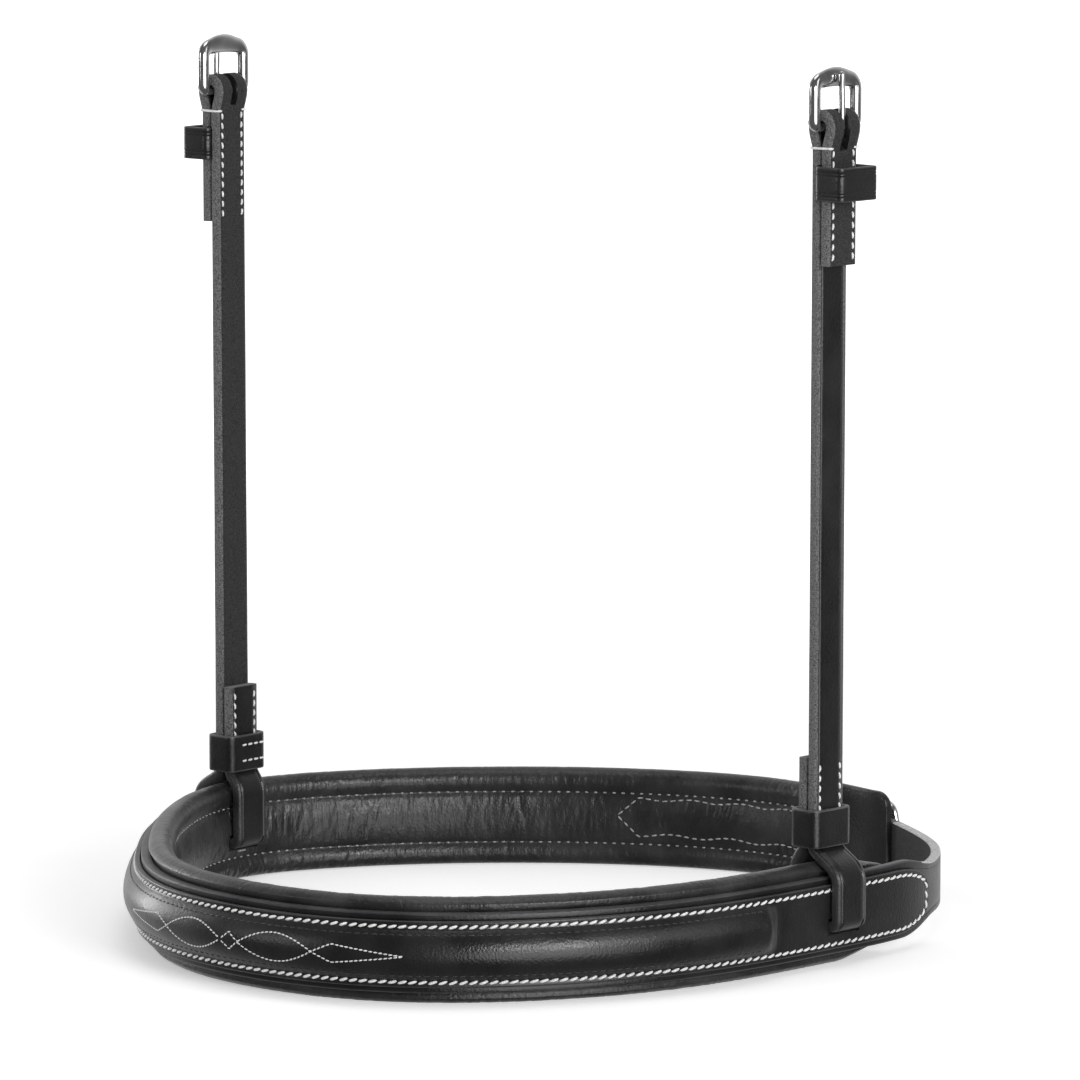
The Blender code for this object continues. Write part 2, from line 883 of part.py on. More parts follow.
def make_cheekpiece(side, place):
    """Makes one cheekpiece with its keepers and its buckle."""
    pose = band_frame(place)
    pivot = make_empty("cheek_pivot_" + side, pose @ Matrix.Translation((0.0, 0.0, slot_level)))
    half = cheek_width / 2
    rows = [[(out, across, level) for across in (-half, half)] for out, level in cheek_line()]
    strap = sheet(
        "cheek_strap_" + side, rows, cheek_thickness, strap_bevel, black_grain, parent=pivot, pose=pose
    )
    middle = layer_middle(cheek_bar_level)
    slot = box_cutter(
        "eye_slot_cutter_" + side,
        (middle - cheek_width, -eye_slot_width / 2, cheek_bar_level - eye_slot_depth),
        (middle + cheek_width, eye_slot_width / 2, cheek_bar_level + cheek_width),
        pose,
    )
    cut(strap, slot)
    keeper_top = upper_keeper_level + upper_keeper_height
    keeper_middle = layer_middle((upper_keeper_level + keeper_top) / 2)
    seat = keeper_thickness / 2 + gap
    notch = box_cutter(
        "keeper_notch_cutter_" + side,
        (keeper_middle - seat, -cheek_width, upper_keeper_level - gap),
        (keeper_middle + seat, cheek_width, keeper_top + gap),
        pose,
    )
    cut(strap, notch)
    room = half + keeper_play
    make_band_loop(
        "cheek_keeper_upper_" + side,
        (keeper_middle + keeper_thickness / 2, -room),
        (keeper_middle + layer_pitch / 2 + cheek_half + upper_keeper_room + keeper_play, room),
        (upper_keeper_level, keeper_top),
        keeper_thickness,
        black_grain,
        pivot,
        pose,
    )
    make_band_loop(
        "cheek_keeper_lower_" + side,
        (cheek_plane - layer_pitch - cheek_half - keeper_play, -room),
        (cheek_plane + cheek_half + keeper_play, room),
        (lower_keeper_level, lower_keeper_level + lower_keeper_height),
        keeper_thickness,
        black_grain,
        pivot,
        pose,
    )
    bar = pose @ Matrix.Translation((middle, 0.0, cheek_bar_level))
    reach = cheek_frame_length - bar_radius - top_bar_half
    frame = make_buckle_frame("cheek_buckle_frame_" + side, cheek_frame_width, reach, pivot, bar)
    make_tongue("cheek_buckle_tongue_" + side, reach, frame, bar)


def chin_frame():
    """Gives the placed frame of the chin buckle's bar: X outward, Y up, Z towards its top bar."""
    point, along, normal = strap_path.at(chin_bar_place)
    spot = point + normal * chin_bar_height
    lift = math.cos(chin_frame_tilt)
    tip = math.sin(chin_frame_tilt)
    out = normal * lift + along * tip
    ahead = normal * tip - along * lift
    return Matrix(
        (
            (out[0], 0.0, ahead[0], spot[0]),
            (out[1], 0.0, ahead[1], spot[1]),
            (0.0, 1.0, 0.0, base_level),
            (0.0, 0.0, 0.0, 1.0),
        )
    )


def chape_line():
    """Gives the chape's places and distances outward, from its pointed end over the bar and back."""
    line = []
    for step in [0.0] + end_stations(chape_point, 4):
        line.append((chape_end - step, chape_low))
    flat = np.arange(chape_end - chape_point, chape_lift_start, -station_step)[1:]
    line += [(float(place), chape_low) for place in flat] + [(chape_lift_start, chape_low)]
    high = chin_bar_height + chin_fold_radius
    for share in (0.25, 0.5, 0.75, 1.0):
        place = chape_lift_start + (chape_return - chape_lift_start) * share
        line.append((place, chape_low + (chape_high - chape_low) * ease(share)))
    for share in (0.25, 0.5, 0.75):
        place = chape_return + (chin_bar_place - chape_return) * share
        line.append((place, chape_high + (high - chape_high) * ease(share)))
    for angle in np.radians(np.linspace(90.0, 270.0, 9)):
        line.append(
            (
                chin_bar_place + chin_fold_radius * math.cos(angle),
                chin_bar_height + chin_fold_radius * math.sin(angle),
            )
        )
    for share in (0.4, 0.8):
        line.append((chin_bar_place + (chape_return - chin_bar_place) * share, chape_low))
    return line


def make_chin_closure():
    """Makes the chape, the chin buckle and the two keepers outside the band's far end."""
    rows = []
    for place, out in chape_line():
        half = chape_width / 2 * round_end(chape_end - place, chape_point, 0.15)
        rows.append([strap_path.put(place, out, base_level + level) for level in (-half, half)])
    chape = sheet("chin_chape", rows, chape_thickness, strap_bevel, black_grain)
    bar = chin_frame()
    slot = box_cutter(
        "chape_slot_cutter",
        (-2 * chape_width, -chin_slot_width / 2, -eye_slot_depth),
        (2 * chape_width, chin_slot_width / 2, chape_width),
        bar,
    )
    cut(chape, slot)
    frame = make_buckle_frame("chin_buckle_frame", chin_frame_width, chin_reach, chape, bar)
    make_tongue("chin_buckle_tongue", chin_reach, frame, bar)
    play = 2 * gap
    wrap = bar_radius + hinge_play + tongue_radius
    tongue_slot = box_cutter(
        "billet_tongue_cutter",
        (wrap - tongue_radius - play, -tongue_radius - play, 0.0),
        (wrap + tongue_radius + play, tongue_radius + play, chin_reach),
        bar,
    )
    cut(main_strap, tongue_slot)
    room = chape_width / 2 + keeper_play
    for number, start in enumerate(chin_keeper_starts):
        pose = keeper_frame(start)
        name = "chin_keeper_%d" % (number + 1)
        notch = box_cutter(
            name + "_cutter",
            (0.0, -chape_width, -gap),
            (on_main + chin_keeper_thickness + gap, chape_width, chin_keeper_height + gap),
            pose,
        )
        cut(chape, notch)
        make_band_loop(
            name,
            (on_main + chin_keeper_thickness, -room),
            (billet_flat + main_half + keeper_play, room),
            (0.0, chin_keeper_height),
            chin_keeper_thickness,
            black_grain,
            chape,
            pose,
        )


def keeper_frame(start):
    """Gives a chin keeper's placed frame: X outward, Y up, Z towards the chin buckle."""
    middle = start + chin_keeper_height / 2
    point, along, normal = strap_path.at(middle)
    spot = point + along * (chin_keeper_height / 2)
    return Matrix(
        (
            (normal[0], 0.0, -along[0], spot[0]),
            (normal[1], 0.0, -along[1], spot[1]),
            (0.0, 1.0, 0.0, base_level),
            (0.0, 0.0, 0.0, 1.0),
        )
    )


make_cheekpiece("right", right_loop)
make_cheekpiece("left", left_loop)
make_chin_closure()
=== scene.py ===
"""Studio scene of a cavesson noseband: camera, light, materials and the visual model, in metres."""

import math

import bmesh
import bpy
import numpy as np
from mathutils import Matrix, Vector


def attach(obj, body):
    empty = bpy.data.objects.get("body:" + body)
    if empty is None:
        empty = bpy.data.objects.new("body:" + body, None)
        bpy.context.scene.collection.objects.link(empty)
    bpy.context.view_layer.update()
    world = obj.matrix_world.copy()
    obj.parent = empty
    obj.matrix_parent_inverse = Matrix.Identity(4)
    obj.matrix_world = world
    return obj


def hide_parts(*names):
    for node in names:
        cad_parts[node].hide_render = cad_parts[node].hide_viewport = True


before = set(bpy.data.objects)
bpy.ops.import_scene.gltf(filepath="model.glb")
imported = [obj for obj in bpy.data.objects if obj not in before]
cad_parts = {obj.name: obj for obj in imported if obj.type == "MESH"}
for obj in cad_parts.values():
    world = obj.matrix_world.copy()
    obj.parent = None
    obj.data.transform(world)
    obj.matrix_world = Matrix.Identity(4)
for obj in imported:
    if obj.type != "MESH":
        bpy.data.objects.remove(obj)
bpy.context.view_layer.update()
scene = bpy.context.scene

# Sizes shared with the solids
ring_half_width = 0.1183
ring_half_length = 0.1230
plan_shift = -0.0017
main_thickness = 0.0030
main_height = 0.0236
main_start = 0.0100
main_end_round = 0.0050
billet_width = 0.0160
billet_taper = 0.0240
billet_taper_reach = 0.0300
billet_overlap = 0.1080
billet_point = 0.0120
billet_hole_radius = 0.0016
billet_hole_pitch = 0.0200
billet_hole_steps = (-1, 1, 2, 3, 4)
face_thickness = 0.0016
face_height = 0.0196
seam_level = 0.0082
face_tip_reach = 0.0425
face_tip_length = 0.0180
dome_height = 0.0036
dome_end_reach = 0.0280
dome_ramp = 0.0060
roll_radius = 0.0042
roll_drop = 0.0044
roll_rise = 0.0116
pad_flat = 0.0005
pad_start = 0.0248
pad_end_reach = 0.0240
pad_end_round = 0.0080
pad_end_share = 0.55
flap_thickness = 0.0022
flap_height = 0.0326
flap_rise = 0.0011
flap_length = 0.0245
flap_corner = 0.0060
gap = 0.0003
slot_play = 0.0003
leg_play = 0.0014
hinge_play = 0.00015
cheek_width = 0.0127
cheek_thickness = 0.0034
cheek_swing = math.radians(5.0)
slot_level = -0.0030
leg_corner = 0.0024
leg_straight_top = 0.0080
legs_meet = 0.0200
cheek_plane = -0.0044
turn_up_top = 0.0470
cheek_bar_level = 0.2355
cheek_lean = 0.0004
turn_down_end = 0.1945
eye_neck = 0.0075
keeper_thickness = 0.0015
lower_keeper_height = 0.0115
lower_keeper_level = 0.0202
upper_keeper_height = 0.0100
upper_keeper_level = 0.2140
upper_keeper_room = 0.0048
chin_keeper_thickness = 0.0012
chin_keeper_height = 0.0100
chin_keeper_starts = (0.0480, 0.0820)
keeper_play = 0.0005
keeper_corner = 0.0005
bar_radius = 0.0016
side_radius = 0.0019
top_bar_half = 0.0024
top_bar_thickness = 0.0015
top_bar_arch = 0.0013
frame_corner = 0.0031
frame_low_corner = 0.0021
cheek_frame_width = 0.0215
cheek_frame_length = 0.0191
chin_frame_width = 0.0250
chin_frame_length = 0.0210
chin_frame_tilt = math.radians(3.5)
tongue_radius = 0.0010
tongue_tip_reach = 0.0012
chape_thickness = 0.0024
chape_width = 0.0160
chape_end = 0.1080
chape_point = 0.0140
chape_return = 0.0380
chape_lift_start = 0.0440
chin_bar_place = 0.0250

# Finer shapes of this scene. The straps' eyes are smaller than the solids' and end in a skive, and
# the cheek tongues curl a little wider, so that a lifted tongue clears the strap below its eye.
eye_width = 0.0026
eye_depth = 0.0046
cheek_tongue_wrap = 0.0030
skive_start = (0.0005, -0.0051)
skive_slope = math.radians(31.0)
billet_bare = (0.0420, 0.1190)
pad_taper = 0.0220
row_step = 0.0022
strap_crease_width = 0.00042
strap_crease_depth = 0.00022
main_crease = 0.0027
cheek_crease = 0.0017
chape_crease = 0.0014
face_edge_corner = 0.00045
cheek_edge_corner = 0.0011
flap_edge_corner = 0.0007
face_row_dip = (0.00022, 0.00035)
face_tip_blunt = 0.26
dome_share = 0.76
dome_fullness = 0.92
dome_foot = 0.0060
dome_foot_dip = (0.00012, 0.0003)
dome_foot_start = 0.0004
back_relief = 0.0001
pattern_middle = 0.4318
pattern_ends = (0.0034, 0.0279, 0.0341, 0.0542)
channel_floor = 0.00815
channel_swell = 0.0009
channel_reach = 0.0064
wrinkle_fine = 0.00036
wrinkle_broad = 0.00020
wrinkle_short = 0.00012
wrinkle_calm = 0.012
pad_row_out = -0.00745
pad_row_margin = 0.004
flap_bend = (0.0014, 0.011)
turn_up_rows = (0.0462, 0.0205, 0.00435)
turn_down_rows = (0.2292, 0.1955, 0.0043)
edge_tie_level = 0.2293
KEEPER_CREASES = (0.15, 0.24, 0.76, 0.85)
KEEPER_STATIONS = (0.13, 0.15, 0.17, 0.22, 0.24, 0.26, 0.74, 0.76, 0.78, 0.83, 0.85, 0.87)
keeper_crease = (0.00016, 0.014)
keeper_edge_round = 0.00035
lower_keeper_corner = 0.0013

# Thread: how deep it lies, how flat it is, how unevenly it runs, and each seam's pitch, stitch
# length, rise and slant in degrees
thread_sink = 0.35
thread_flatness = 0.8
thread_wander = 0.06
NOSE_SEAM = (0.00297, 0.00285, 0.00030, 17.0)
DOME_SEAM = (0.0026, 0.0019, 0.0001, 0.0)
FANCY_SEAM = (0.00150, 0.00135, 0.00012, 6.0)
PADDING_SEAM = (0.00297, 0.00125, 0.00018, 0.0)
CHAPE_SEAM = (0.0027, 0.0020, 0.00018, 0.0)
CHEEK_SEAM = (0.00305, 0.0022, 0.00026, 7.0)
KEEPER_SEAM = (0.0026, 0.0021, 0.00025, 0.0)

BAND_SHARES = (
    (0.594, 0.912), (0.180, 1.000), (-0.169, 0.925), (-0.541, 0.715), (-0.862, 0.398),
    (-1.000, 0.089), (-0.926, -0.211), (-0.693, -0.565), (-0.363, -0.885), (0.008, -1.000),
    (0.389, -0.943), (0.685, -0.722), (0.913, -0.325), (1.000, 0.089), (1.016, 0.400),
    (0.871, 0.704), (0.671, 0.872),
)

base_level = roll_rise + roll_radius - pad_flat
main_half = main_thickness / 2
chape_half = chape_thickness / 2
on_main = main_half + gap
face_surface = on_main + face_thickness
pad_surface = roll_drop + roll_radius
chin_fold_radius = bar_radius + hinge_play + chape_half
billet_round = chin_fold_radius + chape_half + gap + main_half
chin_bar_height = main_half + gap + chape_half + chin_fold_radius
chin_reach = chin_frame_length - bar_radius - top_bar_half
chape_low = on_main + chape_half
chape_high = chape_low + chape_thickness + gap
billet_flat = chape_low + chape_half + gap + main_half
billet_double = chape_high + chape_half + gap + main_half
chin_tilt_rise = chin_reach * math.sin(chin_frame_tilt)
billet_under = chin_bar_height + chin_tilt_rise - top_bar_thickness - 3 * gap - main_half
cheek_half = cheek_thickness / 2
layer_pitch = cheek_thickness + gap
outer_leg = face_surface + gap + cheek_half
inner_leg = -(pad_surface + leg_play + cheek_half)
cheek_fold_radius = bar_radius + hinge_play + cheek_half


# Paths
def spline(points, count):
    """Reads a natural cubic spline through the points at count even parameters."""
    points = np.array(points, float)
    knots = np.concatenate([[0.0], np.cumsum(np.linalg.norm(np.diff(points, axis=0), axis=1))])
    steps = np.diff(knots)
    size = len(points)
    system = np.eye(size)
    right = np.zeros(points.shape)
    for i in range(1, size - 1):
        system[i, i - 1] = steps[i - 1]
        system[i, i] = 2.0 * (steps[i - 1] + steps[i])
        system[i, i + 1] = steps[i]
        slope = (points[i + 1] - points[i]) / steps[i] - (points[i] - points[i - 1]) / steps[i - 1]
        right[i] = 6.0 * slope
    bend = np.linalg.solve(system, right)
    found = []
    for place in np.linspace(0.0, knots[-1], count):
        i = min(int(np.searchsorted(knots, place, side="right")) - 1, size - 2)
        a = (knots[i + 1] - place) / steps[i]
        b = (place - knots[i]) / steps[i]
        curve = (a**3 - a) * bend[i] + (b**3 - b) * bend[i + 1]
        found.append(a * points[i] + b * points[i + 1] + curve * steps[i] ** 2 / 6.0)
    return np.array(found)


class PlanPath:
    """A smooth path in plan, read by its length, with its outward side on the right."""

    def __init__(self, points, samples=1200):
        self.points = spline(points, samples)
        runs = np.linalg.norm(np.diff(self.points, axis=0), axis=1)
        self.lengths = np.concatenate([[0.0], np.cumsum(runs)])
        self.total = float(self.lengths[-1])
        self.slopes = np.gradient(self.points, self.lengths, axis=0)

    def at(self, place):
        """Gives the point, the direction and the outward normal at a length."""
        place = float(place)
        end = min(max(place, 0.0), self.total)
        point = np.array([np.interp(end, self.lengths, self.points[:, k]) for k in range(2)])
        along = np.array([np.interp(end, self.lengths, self.slopes[:, k]) for k in range(2)])
        along = along / np.linalg.norm(along)
        point = point + along * (place - end)
        return point, along, np.array([along[1], -along[0]])

    def put(self, place, out, level):
        """Gives the 3-D point at a length, a distance outward and a level."""
        point, _, normal = self.at(place)
        spot = point + normal * out
        return (float(spot[0]), float(spot[1]), float(level))

    def nearest(self, point):
        """Gives the length at the path's nearest place to a point."""
        away = np.linalg.norm(self.points - np.array(point), axis=1)
        return float(self.lengths[int(np.argmin(away))])


def plan_point(share):
    """Gives the plan point of a pair of shares."""
    return (share[0] * ring_half_width, share[1] * ring_half_length + plan_shift)


band_path = PlanPath([plan_point(share) for share in BAND_SHARES])


def billet_rides():
    """Gives the billet's places along the band's far end, and its distance outside it."""
    rides = [(chin_bar_place - chin_reach, billet_under)]
    for angle in (math.radians(70.0), math.radians(38.0), 0.0):
        rides.append(
            (
                chin_bar_place - billet_round * math.sin(angle),
                chin_bar_height + billet_round * math.cos(angle),
            )
        )
    rides.append((chape_return, billet_double + 2 * gap))
    rides.append((chape_lift_start + 2 * chape_thickness, billet_flat + gap))
    for share in (0.55, 0.8, 1.0):
        rides.append((billet_overlap * share, billet_flat + gap / 2))
    return rides


def billet_points():
    """Gives the plan points of the billet's ride."""
    return [band_path.put(place, out, 0.0)[:2] for place, out in billet_rides()]


strap_path = PlanPath([plan_point(share) for share in BAND_SHARES] + billet_points())
right_loop = strap_path.nearest(plan_point(BAND_SHARES[5]))
left_loop = strap_path.nearest(plan_point(BAND_SHARES[13]))
face_start = right_loop - face_tip_reach
face_end = left_loop + face_tip_reach
dome_start = right_loop + dome_end_reach
dome_end = left_loop - dome_end_reach


def smooth(share):
    """Bends a share between 0 and 1 into a smooth rise."""
    return share * share * (3.0 - 2.0 * share)


def ease(share):
    """Rises smoothly from 0 to 1 and stays level outside."""
    return smooth(min(max(share, 0.0), 1.0))


def round_end(distance, length, blunt):
    """Gives a rounded end's share of the full width, at a distance from its tip."""
    share = min(max(distance / length, 0.0), 1.0)
    return blunt + (1.0 - blunt) * math.sqrt(1.0 - (1.0 - share) ** 2)


def end_steps(length, count):
    """Gives closer stations for a rounded end."""
    return [length * (1.0 - math.cos(math.pi / 2 * i / count)) for i in range(1, count + 1)]


def main_width(place):
    """Gives the main strap's height at a length."""
    taper = (place - left_loop - billet_taper_reach) / billet_taper
    width = main_height + (billet_width - main_height) * ease(taper)
    width *= round_end(place - main_start, main_end_round, 0.75)
    return width * round_end(strap_path.total - place, billet_point, 0.15)


def band_frame(place):
    """Gives a placed frame on the band: X outward, Y along the strap, Z up from its middle."""
    point, along, normal = strap_path.at(place)
    return Matrix(
        (
            (normal[0], along[0], 0.0, point[0]),
            (normal[1], along[1], 0.0, point[1]),
            (0.0, 0.0, 1.0, base_level),
            (0.0, 0.0, 0.0, 1.0),
        )
    )


def noise_1d(places, seed, cell):
    """Gives smooth seeded noise from -1 to 1 along a line."""
    count = 4096
    values = np.random.default_rng(seed).uniform(-1.0, 1.0, count)
    at = np.asarray(places, float) / cell + 1000.0
    low = np.floor(at).astype(int)
    share = smooth(at - low)
    return values[low % count] * (1.0 - share) + values[(low + 1) % count] * share


def noise_2d(a, b, seed):
    """Gives smooth seeded noise from -1 to 1 on a plane, with cells of size 1."""
    count = 256
    values = np.random.default_rng(seed).uniform(-1.0, 1.0, (count, count))
    a = np.asarray(a, float) + 500.0
    b = np.asarray(b, float) + 500.0
    i = np.floor(a).astype(int)
    j = np.floor(b).astype(int)
    u = smooth(a - i)
    v = smooth(b - j)
    rows = []
    for side in (j % count, (j + 1) % count):
        rows.append(values[i % count, side] * (1 - u) + values[(i + 1) % count, side] * u)
    return rows[0] * (1 - v) + rows[1] * v


# Materials
def add_node(tree, kind, output, inputs, **settings):
    """Adds a node with its inputs, each a value or a socket, and gives one of its outputs."""
    node = tree.nodes.new("ShaderNode" + kind)
    for name, value in settings.items():
        setattr(node, name, value)
    for name, value in inputs.items():
        if isinstance(value, bpy.types.NodeSocket):
            tree.links.new(value, node.inputs[name])
        else:
            node.inputs[name].default_value = value
    return node.outputs[output]


def map_range(tree, value, low, high, from_low, from_high, **settings):
    """Maps a value from one range onto another."""
    inputs = {"From Min": from_low, "From Max": from_high, "To Min": low, "To Max": high}
    return add_node(tree, "MapRange", "Result", {"Value": value, **inputs}, **settings)


class Nodes:
    """A short way to build a Principled material from nodes."""

    def __init__(self, name, colour, roughness, metallic=0.0, **sockets):
        self.material = bpy.data.materials.new(name)
        self.material.use_nodes = True
        self.tree = self.material.node_tree
        self.shader = self.tree.nodes["Principled BSDF"]
        self.shader.inputs["Base Color"].default_value = (*colour, 1.0)
        self.shader.inputs["Roughness"].default_value = roughness
        self.shader.inputs["Metallic"].default_value = metallic
        for socket, value in sockets.items():
            self.shader.inputs[socket.replace("_", " ")].default_value = value
        self.coordinates = add_node(self.tree, "TexCoord", "Object", {})

    def noise(self, scale, detail, stretch=None, distortion=0.0):
        """Adds a noise texture in metres, stretched if asked."""
        place = self.coordinates
        if stretch is not None:
            place = add_node(self.tree, "Mapping", "Vector", {"Vector": place, "Scale": stretch})
        inputs = {"Vector": place, "Scale": scale, "Detail": detail, "Distortion": distortion}
        return add_node(self.tree, "TexNoise", "Fac", inputs)

    def cells(self, scale):
        """Adds a cell texture in metres."""
        inputs = {"Vector": self.coordinates, "Scale": scale}
        return add_node(self.tree, "TexVoronoi", "Distance", inputs)

    def spread(self, value, low, high):
        """Maps the middle of a texture's values onto a range."""
        return map_range(self.tree, value, low, high, 0.3, 0.7)

    def ramp(self, value, *stops):
        """Maps a value onto colours."""
        node = self.tree.nodes.new("ShaderNodeValToRGB")
        line = node.color_ramp.elements
        while len(line) < len(stops):
            line.new(0.5)
        for element, (place, colour) in zip(line, stops):
            element.position = place
            element.color = (*colour, 1.0)
        self.tree.links.new(value, node.inputs["Fac"])
        return node.outputs["Color"]

    def bump(self, value, distance, strength, before=None):
        """Adds a bump of a height in metres on top of an earlier one."""
        inputs = {"Height": value, "Distance": distance, "Strength": strength}
        if before is not None:
            inputs["Normal"] = before
        return add_node(self.tree, "Bump", "Normal", inputs)

    def into(self, name, value):
        """Joins a value to the shader."""
        self.tree.links.new(value, self.shader.inputs[name])


def leather(name, dark, light, roughness, grain, depth, crinkle=0.0):
    """Makes a dyed, finished leather with pores, fine creases and uneven gloss."""
    made = Nodes(name, dark, roughness, Specular_IOR_Level=0.55, Sheen_Weight=0.06)
    made.shader.inputs["Sheen Roughness"].default_value = 0.5
    patches = made.noise(70.0, 4.0)
    fine = made.noise(2600.0, 2.0)
    made.into("Base Color", made.ramp(patches, (0.35, dark), (0.72, light)))
    made.into("Roughness", made.spread(patches, roughness - 0.06, roughness + 0.08))
    pores = made.bump(made.cells(grain), depth, 0.55)
    grained = made.bump(fine, depth * 0.6, 0.35, pores)
    if crinkle:
        folds = made.noise(760.0, 3.0, (1.0, 1.0, 0.3), 1.2)
        grained = made.bump(folds, crinkle, 0.7, grained)
    made.into("Normal", grained)
    return made.material


def flesh_leather(name, dark, light, fuzz):
    """Makes the fuzzy flesh side and raw edges of dyed leather."""
    made = Nodes(name, dark, 0.82, Specular_IOR_Level=0.3, Sheen_Weight=fuzz)
    made.shader.inputs["Sheen Roughness"].default_value = 0.6
    made.shader.inputs["Sheen Tint"].default_value = (0.6, 0.6, 0.62, 1.0)
    fluff = made.noise(2300.0, 5.0)
    patches = made.noise(160.0, 2.0)
    made.into("Base Color", made.ramp(fluff, (0.34, dark), (0.70, light)))
    lumps = made.bump(patches, 0.0005, 0.3)
    made.into("Normal", made.bump(fluff, 0.0003, 0.9, lumps))
    return made.material


def thread(name, dark, light, roughness):
    """Makes a waxed, twisted thread."""
    made = Nodes(name, light, roughness, Sheen_Weight=0.25)
    fibres = made.noise(2600.0, 3.0)
    made.into("Base Color", made.ramp(fibres, (0.3, dark), (0.6, light)))
    made.into("Normal", made.bump(fibres, 0.00012, 0.6))
    return made.material


def steel(name):
    """Makes polished stainless steel with faint wear."""
    made = Nodes(name, (0.62, 0.62, 0.63), 0.13, 1.0)
    wear = made.noise(420.0, 5.0)
    scuffs = made.noise(90.0, 2.0)
    made.into("Roughness", made.spread(wear, 0.09, 0.20))
    made.into("Base Color", made.ramp(scuffs, (0.3, (0.56, 0.56, 0.57)), (0.7, (0.70, 0.70, 0.70))))
    made.into("Normal", made.bump(wear, 0.00004, 0.25))
    return made.material


def foam(name):
    """Makes an open-celled foam or felt."""
    made = Nodes(name, (0.16, 0.16, 0.16), 0.95)
    cells = made.cells(1500.0)
    made.into("Base Color", made.ramp(cells, (0.1, (0.08, 0.08, 0.08)), (0.6, (0.2, 0.2, 0.2))))
    made.into("Normal", made.bump(cells, 0.0004, 0.9))
    return made.material


grain_leather = leather(
    "grain_leather", (0.005, 0.005, 0.0055), (0.010, 0.010, 0.0105), 0.31, 1150.0, 0.00009
)
face_leather = leather(
    "face_leather", (0.005, 0.005, 0.0055), (0.012, 0.012, 0.0125), 0.31, 1300.0, 0.00009, 0.00007
)
soft_leather = leather(
    "soft_leather", (0.013, 0.013, 0.0135), (0.036, 0.036, 0.037), 0.35, 1000.0, 0.00010, 0.00024
)
flap_leather = leather(
    "flap_leather", (0.006, 0.006, 0.0065), (0.015, 0.015, 0.0155), 0.32, 1100.0, 0.00009
)
edge_leather = leather(
    "edge_leather", (0.016, 0.016, 0.016), (0.050, 0.050, 0.050), 0.42, 2100.0, 0.00010
)
burnished_edge = leather(
    "burnished_edge", (0.010, 0.010, 0.010), (0.040, 0.040, 0.040), 0.36, 1700.0, 0.00012
)
# Lighter edge colour for the lower keepers' rims: a painted highlight that stands in for glints on
# their edges
painted_glint_edge = leather("painted_glint_edge", (0.020, 0.020, 0.020), (0.11, 0.11, 0.11), 0.45, 1500.0, 0.00014)
raw_edge = flesh_leather("raw_edge", (0.035, 0.035, 0.035), (0.21, 0.21, 0.21), 0.25)
pale_edge = flesh_leather("pale_edge", (0.32, 0.32, 0.32), (0.74, 0.74, 0.73), 0.25)
flesh = flesh_leather("flesh_side", (0.006, 0.006, 0.006), (0.042, 0.042, 0.042), 0.12)
white_thread = thread("white_thread", (0.62, 0.62, 0.61), (0.93, 0.93, 0.91), 0.5)
fine_thread = thread("fine_thread", (0.50, 0.50, 0.49), (0.82, 0.82, 0.80), 0.5)
black_thread = thread("black_thread", (0.006, 0.006, 0.006), (0.02, 0.02, 0.02), 0.5)
grey_thread = thread("grey_thread", (0.14, 0.14, 0.14), (0.46, 0.46, 0.45), 0.5)
buckle_steel = steel("buckle_steel")
foam_grey = foam("foam_grey")


# Mesh tools
def mesh_object(name, points, faces, materials, marks=None, body="band"):
    """Makes a shaded mesh that rides on a body."""
    mesh = bpy.data.meshes.new(name)
    mesh.from_pydata([tuple(p) for p in points], [], faces)
    for material in materials:
        mesh.materials.append(material)
    if marks is not None:
        mesh.polygons.foreach_set("material_index", np.array(marks, dtype=np.int32))
    obj = bpy.data.objects.new(name, mesh)
    scene.collection.objects.link(obj)
    shape = bmesh.new()
    shape.from_mesh(mesh)
    bmesh.ops.recalc_face_normals(shape, faces=shape.faces)
    shape.to_mesh(mesh)
    shape.free()
    mesh.shade_smooth()
    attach(obj, body)
    return obj


def loft_faces(rows, count, closed=False, base=0):
    """Gives the faces between rows of points round a section, counted from a base."""
    faces = []
    for row in range(rows if closed else rows - 1):
        low = base + row * count
        high = base + (row + 1) % rows * count
        for i in range(count):
            j = (i + 1) % count
            faces.append((low + i, low + j, high + j, high + i))
    return faces


def swept(name, rows, marks, materials, body="band"):
    """Joins rows of points round a section into a piece, its ends in the edges' material."""
    rows = np.asarray(rows, float)
    count = rows.shape[1]
    points = rows.reshape(-1, 3)
    faces = loft_faces(len(rows), count)
    faces.append(tuple(range(count)))
    faces.append(tuple(range(len(points) - count, len(points)))[::-1])
    found = list(marks) * (len(rows) - 1) + [min(1, len(materials) - 1)] * 2
    return mesh_object(name, points, faces, materials, found, body)


def box_cutter(name, low, high, pose):
    """Makes a box cutter between two corners of a placed frame."""
    shape = bmesh.new()
    bmesh.ops.create_cube(shape, size=1.0)
    size = Vector(high) - Vector(low)
    middle = (Vector(high) + Vector(low)) * 0.5
    bmesh.ops.scale(shape, vec=size, verts=shape.verts)
    bmesh.ops.translate(shape, vec=middle, verts=shape.verts)
    bmesh.ops.transform(shape, matrix=pose, verts=shape.verts)
    return finish_cutter(name, shape)


def round_cutter(name, radius, depth, pose):
    """Makes a round cutter along a placed frame's X."""
    shape = bmesh.new()
    bmesh.ops.create_cone(
        shape, cap_ends=True, segments=24, radius1=radius, radius2=radius, depth=depth,
        matrix=pose @ Matrix.Rotation(math.pi / 2, 4, "Y"),
    )
    return finish_cutter(name, shape)


def finish_cutter(name, shape):
    """Turns a shape into a hidden cutter object."""
    mesh = bpy.data.meshes.new(name)
    bmesh.ops.recalc_face_normals(shape, faces=shape.faces)
    shape.to_mesh(mesh)
    shape.free()
    obj = bpy.data.objects.new(name, mesh)
    scene.collection.objects.link(obj)
    obj.hide_render = True
    return obj


